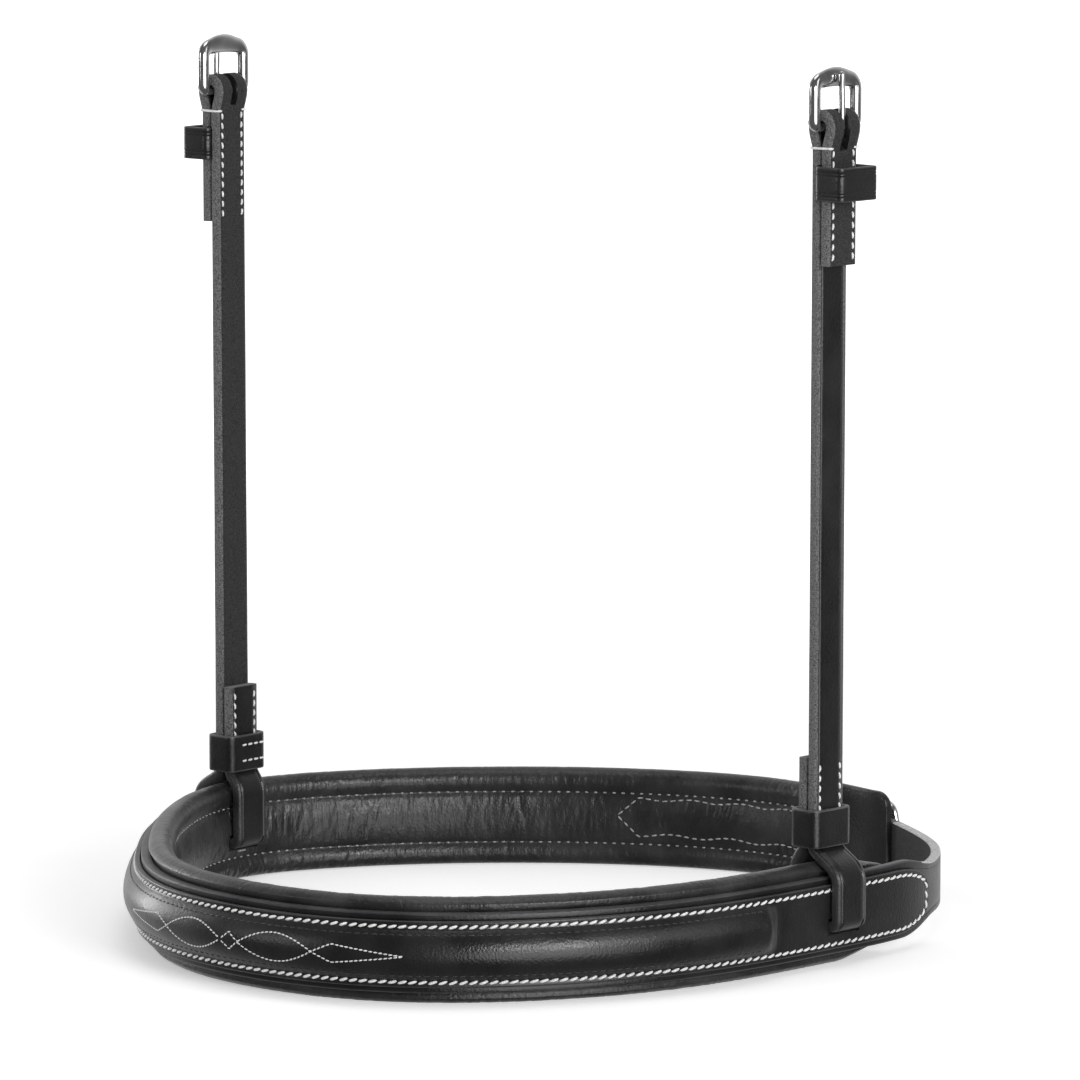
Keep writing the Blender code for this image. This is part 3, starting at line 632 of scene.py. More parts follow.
def carve(obj, cutters):
    """Cuts shapes out of a piece for good and removes the cutters."""
    for cutter in cutters:
        boolean = obj.modifiers.new(cutter.name, "BOOLEAN")
        boolean.operation = "DIFFERENCE"
        boolean.solver = "EXACT"
        boolean.object = cutter
    bpy.context.view_layer.update()
    evaluated = obj.evaluated_get(bpy.context.evaluated_depsgraph_get())
    mesh = bpy.data.meshes.new_from_object(evaluated)
    obj.modifiers.clear()
    obj.data = mesh
    obj.data.set_sharp_from_angle(angle=math.radians(42.0))
    for cutter in cutters:
        bpy.data.objects.remove(cutter, do_unlink=True)


def edge_arc(middle, level, corner):
    """Gives the points of a rounded edge, from its top to its side."""
    turns = [math.radians(angle) for angle in (60.0, 30.0, 0.0)]
    return [(middle + corner * math.cos(turn), level + corner * math.sin(turn)) for turn in turns]


def band_section(half, thickness, crease=0.0, corner=0.00055, flat=7):
    """Gives a strap's outline as (share of the half width, distance off its middle, mark).

    Mark 0 is the grain side, 1 the edges and 2 the flesh side. A crease runs at its distance from
    each edge of the grain side.
    """
    t = thickness / 2
    inner = half - corner
    if crease:
        crease_line = half - crease
        wide = strap_crease_width
        depth = strap_crease_depth
        lip = 0.00004
        lead = [(-inner, t, 0), (-crease_line - wide, t + lip, 0),
                (-crease_line - 0.4 * wide, t - 0.5 * depth, 0), (-crease_line, t - depth, 0),
                (-crease_line + 0.4 * wide, t - 0.5 * depth, 0),
                (-crease_line + wide, t + 0.5 * lip, 0)]
        crown = [((crease_line - wide) * share, t + lip * (1 - share * share), 0)
                 for share in np.linspace(-1, 1, flat)[1:-1]]
        grain = lead + crown + [(-a, b, c) for a, b, c in lead[::-1]]
    else:
        grain = [(inner * share, t, 0) for share in np.linspace(-1, 1, flat)]
    rounded = edge_arc(inner, t - corner, corner)
    edge = [(a, b, 1) for a, b in rounded] + [(a, -b, 1) for a, b in rounded[::-1]]
    back = [(inner * share, -t, 2) for share in np.linspace(1, -1, flat)]
    line = grain + edge + back + [(-a, -b, c) for a, b, c in edge]
    return [(a / half, b, c) for a, b, c in line]


def section_marks(section):
    """Gives the marks of the faces between a section's points."""
    marks = [point[2] for point in section]
    count = len(marks)
    return [marks[i] if marks[i] == marks[(i + 1) % count] else 1 for i in range(count)]


def places_between(start, end, step, extra=()):
    """Gives even stations with extra ones, none crowded."""
    count = max(int(round((end - start) / step)), 1)
    inside = [place for place in extra if start < place < end]
    places = sorted(list(np.linspace(start, end, count + 1)) + inside)
    kept = [places[0]]
    for place in places[1:]:
        if place - kept[-1] > 0.00012:
            kept.append(place)
    kept[-1] = end
    return kept


# Stitches
def stitches(name, runs, body, material, radius, sides=6, steps=6):
    """Makes sewn thread: each stitch is (middle, direction, normal, length, rise)."""
    points = []
    faces = []
    for middle, direction, normal, length, rise in runs:
        middle = np.array(middle)
        direction = np.array(direction) / np.linalg.norm(direction)
        normal = np.array(normal) - direction * np.dot(normal, direction)
        normal = normal / np.linalg.norm(normal)
        across = np.cross(normal, direction)
        base = len(points)
        for step in range(steps + 1):
            t = -1.0 + 2.0 * step / steps
            wide = radius * math.sqrt(max(1.0 - abs(t) ** 3.2, 0.03))
            lift = rise * (1.0 - t * t) - radius * thread_sink
            centre = middle + direction * (t * length / 2) + normal * lift
            for side in range(sides):
                angle = 2 * math.pi * side / sides
                high = wide * thread_flatness * math.sin(angle)
                points.append(centre + across * (wide * math.cos(angle)) + normal * high)
        faces += loft_faces(steps + 1, sides, base=base)
        faces.append(tuple(base + side for side in range(sides))[::-1])
        faces.append(tuple(base + steps * sides + side for side in range(sides)))
    return mesh_object(name, points, faces, [material], None, body)


def along_line(spots, seam, hand=1):
    """Lays a seam's stitches along points with their normals, slanted to one hand."""
    pitch, length, rise, slant = seam
    slant = math.radians(slant) * hand
    points, normals = (np.array(part, float) for part in zip(*spots))
    lengths = np.concatenate([[0.0], np.cumsum(np.linalg.norm(np.diff(points, axis=0), axis=1))])
    count = max(int(lengths[-1] / pitch), 1)
    first = (lengths[-1] - count * pitch) / 2 + pitch / 2

    def read(values, at):
        """Reads the values at a length."""
        return np.array([np.interp(at, lengths, values[:, k]) for k in range(3)])

    runs = []
    for number in range(count):
        at = first + number * pitch
        normal = read(normals, at)
        direction = read(points, at + pitch * 0.3) - read(points, at - pitch * 0.3)
        if np.linalg.norm(direction) < 1e-9:
            continue
        direction = direction / np.linalg.norm(direction)
        normal = normal / np.linalg.norm(normal)
        across = np.cross(normal, direction)
        direction = direction * math.cos(slant) + across * math.sin(slant)
        direction = direction + across * (thread_wander * math.sin(number * 12.9898))
        runs.append((read(points, at), direction, normal, length, rise))
    return runs


def finer(line, step):
    """Splits a plan line's runs into steps of about one length, without its last point."""
    found = []
    for (x0, y0), (x1, y1) in zip(line, line[1:]):
        count = max(int(math.hypot(x1 - x0, y1 - y0) / step), 1)
        found += [(x0 + (x1 - x0) * k / count, y0 + (y1 - y0) * k / count) for k in range(count)]
    return found


# Noseband
swing_cos = math.cos(cheek_swing)
swing_sin = math.sin(cheek_swing)
slot_half_height = (cheek_thickness * swing_cos + cheek_width * swing_sin) / 2 + slot_play
slot_half_width = (cheek_width * swing_cos + cheek_thickness * swing_sin) / 2 + slot_play


def slot_cutters(tag):
    """Makes the cutters of both cheekpiece slots."""
    reach = 0.02
    return [
        box_cutter(
            "slot_%s_%s" % (side, tag),
            (-reach, -slot_half_width, slot_level - slot_half_height),
            (reach, slot_half_width, slot_level + slot_half_height),
            band_frame(place),
        )
        for side, place in (("right", right_loop), ("left", left_loop))
    ]


def make_main_strap():
    """Makes the strap that carries everything and ends in the chin billet."""
    section = band_section(main_height / 2, main_thickness, crease=main_crease)
    ride = [strap_path.nearest(point) for point in billet_points()]
    extra = [main_start + step for step in end_steps(main_end_round, 5)]
    extra += [strap_path.total - step for step in end_steps(billet_point, 12)]
    extra += list(np.linspace(ride[0], ride[5], 60))
    places = places_between(main_start, strap_path.total, row_step, extra)
    rows = []
    for place in places:
        half = main_width(place) / 2
        rows.append([strap_path.put(place, out, base_level + half * share)
                     for share, out, _ in section])
    marks = section_marks(section)
    materials = [grain_leather, edge_leather, flesh, pale_edge]
    strap = swept("main_strap_leather", rows, marks, materials)
    bare = [left_loop + reach for reach in billet_bare]
    for row, place in enumerate(places[:-1]):
        if bare[0] < place < bare[1]:
            for k, mark in enumerate(marks):
                if mark == 1:
                    strap.data.polygons[row * len(marks) + k].material_index = 3
    cutters = slot_cutters("strap")
    for number, step in enumerate(billet_hole_steps):
        pose = band_frame(ride[1] + step * billet_hole_pitch)
        depth = 2 * main_thickness
        cutters.append(round_cutter("hole_%d" % number, billet_hole_radius, depth, pose))
    play = 2 * gap
    wrap = bar_radius + hinge_play + tongue_radius
    low = (wrap - tongue_radius - play, -tongue_radius - play, 0.0)
    high = (wrap + tongue_radius + play, tongue_radius + play, chin_reach)
    cutters.append(box_cutter("tongue_slot", low, high, chin_frame()))
    carve(strap, cutters)
    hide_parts("main_strap")


def standing_frame(out, ahead, spot):
    """Gives a placed frame beside the band: X outward, Y up and Z ahead, from plan vectors."""
    return Matrix(
        (
            (out[0], 0.0, ahead[0], spot[0]),
            (out[1], 0.0, ahead[1], spot[1]),
            (0.0, 1.0, 0.0, base_level),
            (0.0, 0.0, 0.0, 1.0),
        )
    )


def chin_frame():
    """Gives the placed frame of the chin buckle's bar: X outward, Y up, Z towards its top bar."""
    point, along, normal = strap_path.at(chin_bar_place)
    lift = math.cos(chin_frame_tilt)
    tip = math.sin(chin_frame_tilt)
    spot = point + normal * chin_bar_height
    return standing_frame(normal * lift + along * tip, normal * tip - along * lift, spot)


def face_half(place):
    """Gives half the nosepiece's height at a length."""
    tip = min(place - face_start, face_end - place)
    return face_height / 2 * round_end(tip, face_tip_length, face_tip_blunt)


def dome_rise(place, level):
    """Gives the dome's rise over the flat of the nosepiece."""
    ramp = ease((place - dome_start) / dome_ramp) * ease((dome_end - place) / dome_ramp)
    u = abs(level) / (face_height / 2 * dome_share)
    if u >= 1.0:
        return 0.0
    return dome_height * ramp * (1.0 - u * u) ** dome_fullness


def on_face(place, level):
    """Gives a point on the nosepiece's outer surface and the surface's normal there."""
    step = 0.0002
    out = face_surface + dome_rise(place, level)
    spot = np.array(strap_path.put(place, out, base_level + level))
    _, _, normal = strap_path.at(place)
    slope = (dome_rise(place, level + step) - dome_rise(place, level - step)) / (2 * step)
    turned_out = np.array([normal[0], normal[1], -slope])
    return spot, turned_out / np.linalg.norm(turned_out)


row_inset = face_height / 2 - seam_level


def groove(distance, shape):
    """Gives a pressed groove's depth at a distance from its middle."""
    depth, spread = shape
    return depth * math.exp(-((distance / spread) ** 2))


def make_nose_face():
    """Makes the raised, pointed outer leather of the nosepiece."""
    half = face_height / 2
    corner = face_edge_corner
    row = 1.0 - row_inset / half
    outer = [-1.0 + corner / half, -0.93, -row - 0.035, -row, -row + 0.035, -0.79, -0.765, -0.74,
             -0.70, -0.64, -0.56, -0.47, -0.36, -0.24, -0.12, 0.0]
    outer = outer + [-u for u in outer[:-1][::-1]]
    marks = [0] * len(outer) + [1] * 4 + [2] * len(outer) + [1] * 4
    extra = []
    for step in end_steps(face_tip_length, 16):
        extra += [face_start + step, face_end - step]
    for step in np.linspace(0.0, 1.0, 8):
        extra += [dome_start + step * dome_ramp, dome_end - step * dome_ramp]
    rows = []
    for place in places_between(face_start, face_end, row_step, extra):
        wide = face_half(place)
        grain = []
        back = []
        for level in [wide * u for u in outer]:
            rise = dome_rise(place, level)
            dip = groove(abs(level) - wide + row_inset, face_row_dip)
            foot = groove(abs(level) - dome_foot, dome_foot_dip) if rise > dome_foot_start else 0.0
            grain.append((face_surface + rise - dip - foot, level))
            back.append((on_main + max(rise - back_relief, 0.0), level))
        rounded = edge_arc(wide - corner, face_surface - corner, corner)
        edge = [(out, level) for level, out in rounded]
        edge.append((on_main + back_relief, wide - 0.5 * back_relief))
        full = grain + edge + back[::-1] + [(out, -level) for out, level in edge[::-1]]
        rows.append([strap_path.put(place, out, base_level + level) for out, level in full])
    face = swept("nose_face_leather", rows, marks, [face_leather, edge_leather, flesh])
    carve(face, slot_cutters("face"))
    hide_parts("nose_face")


def face_outline(inset):
    """Gives the nosepiece's closed outline as (length, level), drawn in by an inset."""
    tips = sorted([face_start + step for step in end_steps(face_tip_length, 30)] + [face_start])
    ends = sorted([face_end - step for step in end_steps(face_tip_length, 30)] + [face_end])
    middle = list(np.linspace(face_start + face_tip_length, face_end - face_tip_length, 300))[1:-1]
    top = np.array([(place, face_half(place)) for place in tips + middle + ends])
    found = []
    for i, (place, level) in enumerate(top):
        before = top[max(i - 1, 0)]
        after = top[min(i + 1, len(top) - 1)]
        way = (after - before) / np.linalg.norm(after - before)
        spot = (place + way[1] * inset, level - way[0] * inset)
        if face_start + inset <= spot[0] <= face_end - inset and spot[1] > 0.0:
            found.append(spot)
    first = (face_start + inset, 0.0)
    last = (face_end - inset, 0.0)
    upper = [first] + found + [last]
    lower = [(place, -level) for place, level in found[::-1]]
    return upper + lower + [first]


def make_face_stitches():
    """Sews the nosepiece down with its two white rows, which meet round both points."""
    spots = [on_face(place, level) for place, level in face_outline(row_inset)]
    runs = along_line(spots, NOSE_SEAM)
    stitches("nose_rows_thread", runs, "band", white_thread, 0.00043)
    blind = []
    for sign in (-1, 1):
        places = np.linspace(dome_start + dome_ramp, dome_end - dome_ramp, 400)
        blind += along_line([on_face(place, sign * dome_foot) for place in places], DOME_SEAM)
    stitches("dome_foot_thread", blind, "band", black_thread, 0.00022)


def pattern_lines():
    """Gives the fancy stitching's lines: a diamond between two lenses, then two long points."""
    small, cross, wide, point = pattern_ends
    lines = [[(-small, 0.0), (0.0, 0.0025), (small, 0.0), (0.0, -0.0025), (-small, 0.0)]]
    for end in (-1, 1):
        for sign in (-1, 1):
            line = []
            for share in np.linspace(0.0, 1.0, 60):
                swell = 0.0042 * math.sin(math.pi * share) ** 0.9
                line.append((small + (cross - small) * share, swell))
            line += [(wide - 0.0012, -0.0023), (wide, -0.0027)]
            for share in np.linspace(0.05, 1.0, 20):
                line.append((wide + (point - wide) * share, -0.0027 * (1 - share)))
            lines.append([(end * x, sign * z) for x, z in line])
    return lines


def make_fancy_stitches():
    """Sews the fine traditional pattern over the dome's middle."""
    runs = []
    for line in pattern_lines():
        fine = finer(line, 0.0003) + [line[-1]]
        runs += along_line([on_face(pattern_middle + x, z) for x, z in fine], FANCY_SEAM)
    stitches("fancy_thread", runs, "band", fine_thread, 0.00023, steps=4)


def channel_out(level):
    """Gives how far the channel between the rolls lies behind the band's middle."""
    return -channel_floor - channel_swell * max(1.0 - (level / channel_reach) ** 2, 0.0)


def roll_outline():
    """Gives the padding's outline as (out, level, wrinkle share, height along the outline)."""
    half = [(-on_main, level) for level in (0.0, 0.0050, 0.0095, main_height / 2 + gap)]
    weights = [0.0, 0.0, 0.0, 0.0]
    for angle in np.linspace(30.0, 193.0, 22):
        turn = math.radians(angle)
        half.append((roll_radius * math.cos(turn) - roll_drop,
                     roll_rise + roll_radius * math.sin(turn)))
        weights.append(0.26 + 0.55 * ease((angle - 80.0) / 90.0))
    half += [(-0.00790, 0.00905), (-0.00745, 0.00850), (-0.00735, 0.00820), (-0.00745, 0.00790),
             (-0.00785, 0.00735), (-0.00820, 0.00640)]
    weights += [0.6, 0.45, 0.3, 0.45, 0.9, 1.0]
    for level in (0.0052, 0.0039, 0.0026, 0.0013):
        half.append((channel_out(level), level))
        weights.append(1.0)
    full = [(a, b, w) for (a, b), w in zip(half, weights)]
    lower = [(a, -b, w) for a, b, w in full[1:][::-1]]
    return full + [(channel_out(0.0), 0.0, 1.0)] + lower


def pad_fit(place, out, level):
    """Places an outline point, drawn in at the padding's ends and flat underneath."""
    distance = min(place - pad_start, left_loop + pad_end_reach - place)
    share = round_end(distance, pad_end_round, pad_end_share)
    out = -on_main + (out + on_main) * share
    drawn_in = 0.5 + 0.5 * share
    drawn_in *= 0.55 + 0.45 * ease((left_loop + pad_end_reach - place) / pad_taper)
    if abs(level) > seam_level:
        level = math.copysign(seam_level + (abs(level) - seam_level) * drawn_in, level)
    if abs(level) < main_height / 2 + 2 * gap:
        out = min(out, -on_main)
    return out, max(level, -base_level)


def make_padding():
    """Makes the wrinkled soft leather over its foam, with a roll along each edge."""
    outline = roll_outline()
    closed = np.array([(a, b) for a, b, _ in outline])
    runs = np.linalg.norm(np.diff(closed, axis=0), axis=1)
    heights = np.concatenate([[0.0], np.cumsum(runs)])
    weights = np.array([w for _, _, w in outline])
    ahead = np.roll(closed, -1, axis=0) - np.roll(closed, 1, axis=0)
    normals = np.stack([ahead[:, 1], -ahead[:, 0]], axis=1)
    normals /= np.linalg.norm(normals, axis=1)[:, None]
    if np.dot(normals[10], closed[10] - np.array([-roll_drop, roll_rise])) < 0:
        normals = -normals
    start = pad_start
    end = left_loop + pad_end_reach
    extra = [start + step for step in end_steps(pad_end_round, 10)]
    extra += [end - step for step in end_steps(pad_end_round, 10)]
    places = np.array(places_between(start, end, 0.0005, extra))
    away = np.minimum(places - start, end - places)
    calm = np.clip(away / wrinkle_calm, 0.0, 1.0)
    swell = 0.75 + 0.45 * noise_1d(places, 5, 0.021)
    rows = []
    for i, place in enumerate(places):
        wander = 0.8 * noise_2d(place / 0.009, heights / 0.005, 21)
        fine = noise_2d(place / 0.0017 + wander, heights / 0.0060 + 7.0, 11)
        short = noise_2d(place / 0.0011 - wander, heights / 0.0035 + 3.0, 14)
        broad = noise_2d(place / 0.0050 + 0.4 * wander, heights / 0.016, 12)
        crinkle = -np.clip(1.0 - np.abs(fine) / 0.30, 0.0, 1.0) * wrinkle_fine
        crinkle = crinkle + broad * wrinkle_broad + short * wrinkle_short
        drop = crinkle * weights * calm[i] * swell[i]
        shaped = closed + normals * drop[:, None]
        row = []
        for out, level in shaped:
            out, level = pad_fit(place, float(out), float(level))
            row.append(strap_path.put(place, out, base_level + level))
        rows.append(row)
    pad = swept("padding_leather", rows, [0] * len(outline), [soft_leather])
    carve(pad, slot_cutters("padding"))
    pad.data.set_sharp_from_angle(angle=math.radians(75.0))
    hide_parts("padding_lining", "padding_core")


def inside_point(place, level, out):
    """Gives a point on the padding's inner side and its normal towards the horse."""
    _, _, normal = strap_path.at(place)
    return strap_path.put(place, out, base_level + level), (-normal[0], -normal[1], 0.0)


def make_inside_stitches():
    """Sews the padding's two rows and the outline of the chin strap's chape."""
    runs = []
    start = pad_start + pad_row_margin
    end = left_loop + pad_end_reach - pad_row_margin
    for sign in (-1, 1):
        spots = [inside_point(place, sign * seam_level, pad_row_out)
                 for place in np.linspace(start, end, 700)]
        runs += along_line(spots, PADDING_SEAM)
    stitches("padding_rows_thread", runs, "band", grey_thread, 0.00030, sides=5, steps=4)
    # The chape's seam wavers along both sides, and its point lies a little above the middle
    places = np.linspace(0.032, 0.0990, 60)
    line = [(place, 0.0066 + 0.0004 * math.sin(place * 330.0)) for place in places]
    line += [(0.1062, 0.0012)]
    line += [(place, -0.0050 + 0.0005 * math.sin(place * 290.0 + 1.2)) for place in places[::-1]]
    spots = [inside_point(place, level, channel_out(level) - 0.00005)
             for place, level in finer(line, 0.0004)]
    runs = along_line(spots, CHAPE_SEAM)
    stitches("chape_outline_thread", runs, "band", grey_thread, 0.00028, sides=5, steps=4)
    tacks = []
    for place in (right_loop, left_loop):
        _, along, normal = strap_path.at(place)
        spot = strap_path.put(place + 0.0006, -0.0087, base_level - 0.0059)
        way = (along[0], along[1], 0.03)
        tacks.append((spot, way, (-normal[0], -normal[1], 0.0), 0.0042, 0.0002))
    stitches("slot_tack_thread", tacks, "band", grey_thread, 0.00030)


def make_jaw_flap():
    """Makes the plain leather end that lies under the chin buckle."""
    section = band_section(flap_height / 2, flap_thickness, corner=flap_edge_corner)
    rows = []
    tip = 0.75 * flap_corner
    blunt = 1.0 - tip / (flap_height / 2)
    bend, bend_reach = flap_bend
    level = base_level + flap_rise
    for place in [0.0] + end_steps(tip, 12) + list(np.linspace(tip, flap_length, 16))[1:]:
        half = flap_height / 2 * round_end(place, tip, blunt)
        middle = -(on_main + flap_thickness / 2) + bend * max(1.0 - place / bend_reach, 0.0) ** 2
        rows.append([strap_path.put(place, middle + out, level + half * share)
                     for share, out, _ in section])
    flap = swept("jaw_flap_leather", rows, [0] * len(section), [flap_leather])
    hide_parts("jaw_flap")


# Cheekpieces
OUTER_LEG_SHARES = (
    (1.2, 0.0), (1.1, 0.0), (1.0, 0.0), (0.87, 0.14), (0.69, 0.50), (0.46, 0.86), (0.20, 1.0),
    (0.0, 1.0),
)
INNER_LEG_SHARES = (
    (1.2, 0.0), (1.0, 0.0), (0.80, 0.40), (0.62, 0.80), (0.42, 0.97), (0.20, 1.0), (0.0, 1.0)
)


def lean_at(level):
    """Gives the cheekpiece's outward lean at a level."""
    return cheek_lean * (level - legs_meet) / (cheek_bar_level - legs_meet)


def layer_middle(level):
    """Gives the middle between the main layer and the turned-down layer at a level."""
    return cheek_plane + layer_pitch / 2 + lean_at(level)


def leg_points(start, end, shares):
    """Gives a leg's points from where the legs meet down to its straight part."""
    drop = legs_meet - leg_straight_top
    return [(start + (end - start) * out, leg_straight_top + drop * height)
            for height, out in shares]


def arc(out, level, radius, start, end, count):
    """Gives the points of an arc between two angles in degrees."""
    turns = np.radians(np.linspace(start, end, count))
    return [(out + radius * math.cos(turn), level + radius * math.sin(turn)) for turn in turns]


def cheek_line():
    """Gives a cheekpiece's middle line from its turn-up round the band to its turned-down end."""
    turn_up = cheek_plane - layer_pitch
    inner = spline(leg_points(turn_up, inner_leg, INNER_LEG_SHARES), 34)
    outer = spline(leg_points(cheek_plane, outer_leg, OUTER_LEG_SHARES), 34)
    line = [(turn_up, level) for level in np.linspace(turn_up_top, inner[0][1] + 0.002, 12)]
    line += [tuple(p) for p in inner]
    line += arc(inner_leg + leg_corner, slot_level + leg_corner, leg_corner, 180.0, 270.0, 9)
    line += arc(outer_leg - leg_corner, slot_level + leg_corner, leg_corner, 270.0, 360.0, 9)
    line += [tuple(p) for p in outer[::-1]]
    neck = cheek_bar_level - eye_neck
    half_pitch = layer_pitch / 2
    swell = cheek_fold_radius - half_pitch
    for level in np.linspace(line[-1][1] + 0.003, neck - 0.002, 70):
        line.append((cheek_plane + lean_at(level), level))
    shares = np.linspace(0.0, 1.0, 11)[:-1]
    for share in shares:
        level = neck + eye_neck * share
        line.append((layer_middle(level) - half_pitch - swell * ease(share), level))
    line += arc(layer_middle(cheek_bar_level), cheek_bar_level, cheek_fold_radius, 180.0, 0.0, 25)
    for share in shares[::-1]:
        level = neck + eye_neck * share
        line.append((layer_middle(level) + half_pitch + swell * ease(share), level))
    for level in np.linspace(neck - 0.002, turn_down_end, 14):
        line.append((layer_middle(level) + half_pitch, level))
    return line


def strip_frames(line):
    """Gives a flat line's directions and its grain side's normals."""
    line = np.array(line, float)
    ahead = np.gradient(line, axis=0)
    ahead /= np.linalg.norm(ahead, axis=1)[:, None]
    return line, ahead, np.stack([ahead[:, 1], -ahead[:, 0]], axis=1)


def placed(pose, out, across, level):
    """Gives a point of a placed frame in the world."""
    return tuple(pose @ Vector((float(out), float(across), float(level))))


def turned(pose, out, across, level):
    """Gives a direction of a placed frame in the world."""
    return tuple(pose.to_3x3() @ Vector((float(out), float(across), float(level))))


def make_cheek_strap(side, pose, body):
    """Makes one cheekpiece's strap with its slot for the tongue and the keeper's seat."""
    half = cheek_width / 2
    section = band_section(half, cheek_thickness, cheek_crease, cheek_edge_corner, flat=9)
    line, _, normals = strip_frames(cheek_line())
    wave = noise_1d(np.arange(len(line)), 3 if side == "left" else 4, 5.0)
    rows = []
    for k, ((out, level), (no, nz)) in enumerate(zip(line, normals)):
        wide = half * (1.0 + 0.006 * wave[k])
        rows.append([placed(pose, out + no * lift, wide * share, level + nz * lift)
                     for share, lift, _ in section])
    materials = [grain_leather, raw_edge, flesh]
    strap = swept("cheek_strap_%s_leather" % side, rows, section_marks(section), materials, body)
    strap.data.materials.append(burnished_edge)
    back = pose.inverted()
    for face in strap.data.polygons:
        if face.material_index == 1 and (back @ face.center).z < lower_keeper_level:
            face.material_index = 3
    middle = layer_middle(cheek_bar_level)
    keeper_top = upper_keeper_level + upper_keeper_height
    keeper_middle = layer_middle((upper_keeper_level + keeper_top) / 2)
    seat = keeper_thickness / 2 + gap
    skive_foot = (middle + skive_start[0], 0.0, cheek_bar_level + skive_start[1])
    cutters = [
        box_cutter(
            "eye_slot_" + side,
            (middle - cheek_width, -eye_width / 2, cheek_bar_level - eye_depth),
            (middle + cheek_width, eye_width / 2, cheek_bar_level + cheek_width),
            pose,
        ),
        box_cutter(
            "eye_skive_" + side,
            (-3 * skive_start[0], -eye_width / 2 - gap, 0.0),
            (cheek_width, eye_width / 2 + gap, 0.3 * cheek_width),
            pose @ Matrix.Translation(skive_foot) @ Matrix.Rotation(skive_slope, 4, "Y"),
        ),
        box_cutter(
            "keeper_seat_" + side,
            (keeper_middle - seat, -cheek_width, upper_keeper_level - gap),
            (keeper_middle + seat, cheek_width, keeper_top + gap),
            pose,
        ),
    ]
    carve(strap, cutters)
    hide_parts("cheek_strap_" + side)


def keeper_section(thickness, bottom, top, creased):
    """Gives a keeper's section as (out, level, mark), its grain side creased if asked."""
    tall = top - bottom
    soft = keeper_edge_round
    shares = np.linspace(0.04, 0.96, 12)
    if creased:
        shares = sorted(list(np.linspace(0.04, 0.96, 9)) + list(KEEPER_STATIONS))
    section = []
    creases = KEEPER_CREASES if creased else ()
    for share in shares:
        dip = sum(groove(share - place, keeper_crease) for place in creases)
        section.append((thickness - dip, bottom + tall * share, 0))
    section += [(thickness - 0.3 * soft, top - 0.2 * soft, 1), (thickness - soft, top, 1),
                (soft, top, 1), (0.0, top - soft, 2), (0.0, (top + bottom) / 2, 2),
                (0.0, bottom + soft, 2), (soft, bottom, 1), (thickness - soft, bottom, 1),
                (thickness - 0.3 * soft, bottom + 0.2 * soft, 1)]
    return section


def keeper_loop(low, high, corner):
    """Gives a rounded rectangle's loop as (corner's centre, way out), its long sides split."""
    middle = [(a + b) / 2 for a, b in zip(low, high)]
    half = [(b - a) / 2 for a, b in zip(low, high)]
    rings = []
    for k, signs in enumerate(((1, 1), (-1, 1), (-1, -1), (1, -1))):
        centre = [middle[j] + signs[j] * (half[j] - corner) for j in range(2)]
        for step in range(9):
            angle = math.pi / 2 * (k + step / 8)
            rings.append((centre, (math.cos(angle), math.sin(angle))))
    full = []
    for i, (centre, way) in enumerate(rings):
        full.append((centre, way))
        after = rings[(i + 1) % len(rings)][0]
        run = [after[j] - centre[j] for j in range(2)]
        if math.hypot(*run) > 0.003:
            for share in (0.33, 0.67):
                full.append(([centre[j] + run[j] * share for j in range(2)], way))
    return full


def make_keeper(name, low, high, levels, thickness, pose, body, corner, creased=True,
                rim=edge_leather):
    """Makes a leather keeper round a rectangle, its corners rounded and its rims creased."""
    section = keeper_section(thickness, *levels, creased)
    loop = keeper_loop(low, high, corner)
    points = []
    for centre, way in loop:
        for out, level, _ in section:
            spot = [centre[j] + (corner + out) * way[j] for j in range(2)]
            points.append(placed(pose, *spot, level))
    faces = loft_faces(len(loop), len(section), closed=True)
    marks = section_marks(section) * len(loop)
    keeper = mesh_object(name + "_leather", points, faces, [grain_leather, rim, flesh], marks, body)
    keeper.data.set_sharp_from_angle(angle=math.radians(50.0))
    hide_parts(name)


def frame_outline(width, reach):
    """Gives a buckle frame's middle line with its half sizes in and out of its plane."""
    half = width / 2 - side_radius
    sides = reach - top_bar_arch
    low = frame_low_corner
    inner = half - frame_corner
    right = [(across, 0.0, bar_radius, bar_radius)
             for across in (0.0, (half - low) * 0.5, half - low - 0.0009)]
    for angle in np.radians([-80.0, -60.0, -40.0, -20.0, 0.0]):
        share = ease((math.degrees(angle) + 90.0) / 70.0)
        radius = bar_radius + (side_radius - bar_radius) * share
        across = half - low + low * math.cos(angle)
        right.append((across, low + low * math.sin(angle), radius, radius))
    for share in (0.25, 0.5, 0.75):
        right.append((half, low + (sides - frame_corner - low) * share, side_radius, side_radius))
    for angle in np.radians(np.arange(8) * 11.25):
        share = math.sin(angle) ** 1.3
        right.append((
            inner + frame_corner * math.cos(angle),
            sides - frame_corner + frame_corner * math.sin(angle),
            side_radius + (top_bar_half - side_radius) * share,
            side_radius + (top_bar_thickness - side_radius) * share,
        ))
    for share in (0.85, 0.68, 0.51, 0.34, 0.17, 0.0):
        rise = top_bar_arch * (1.0 - share * share)
        wide = top_bar_half + 0.38 * rise
        right.append((inner * share, sides + 0.62 * rise, wide, top_bar_thickness))
    top = [right.pop()]
    left = [(-y, z, a, b) for y, z, a, b in right[:0:-1]]
    return right + top + left


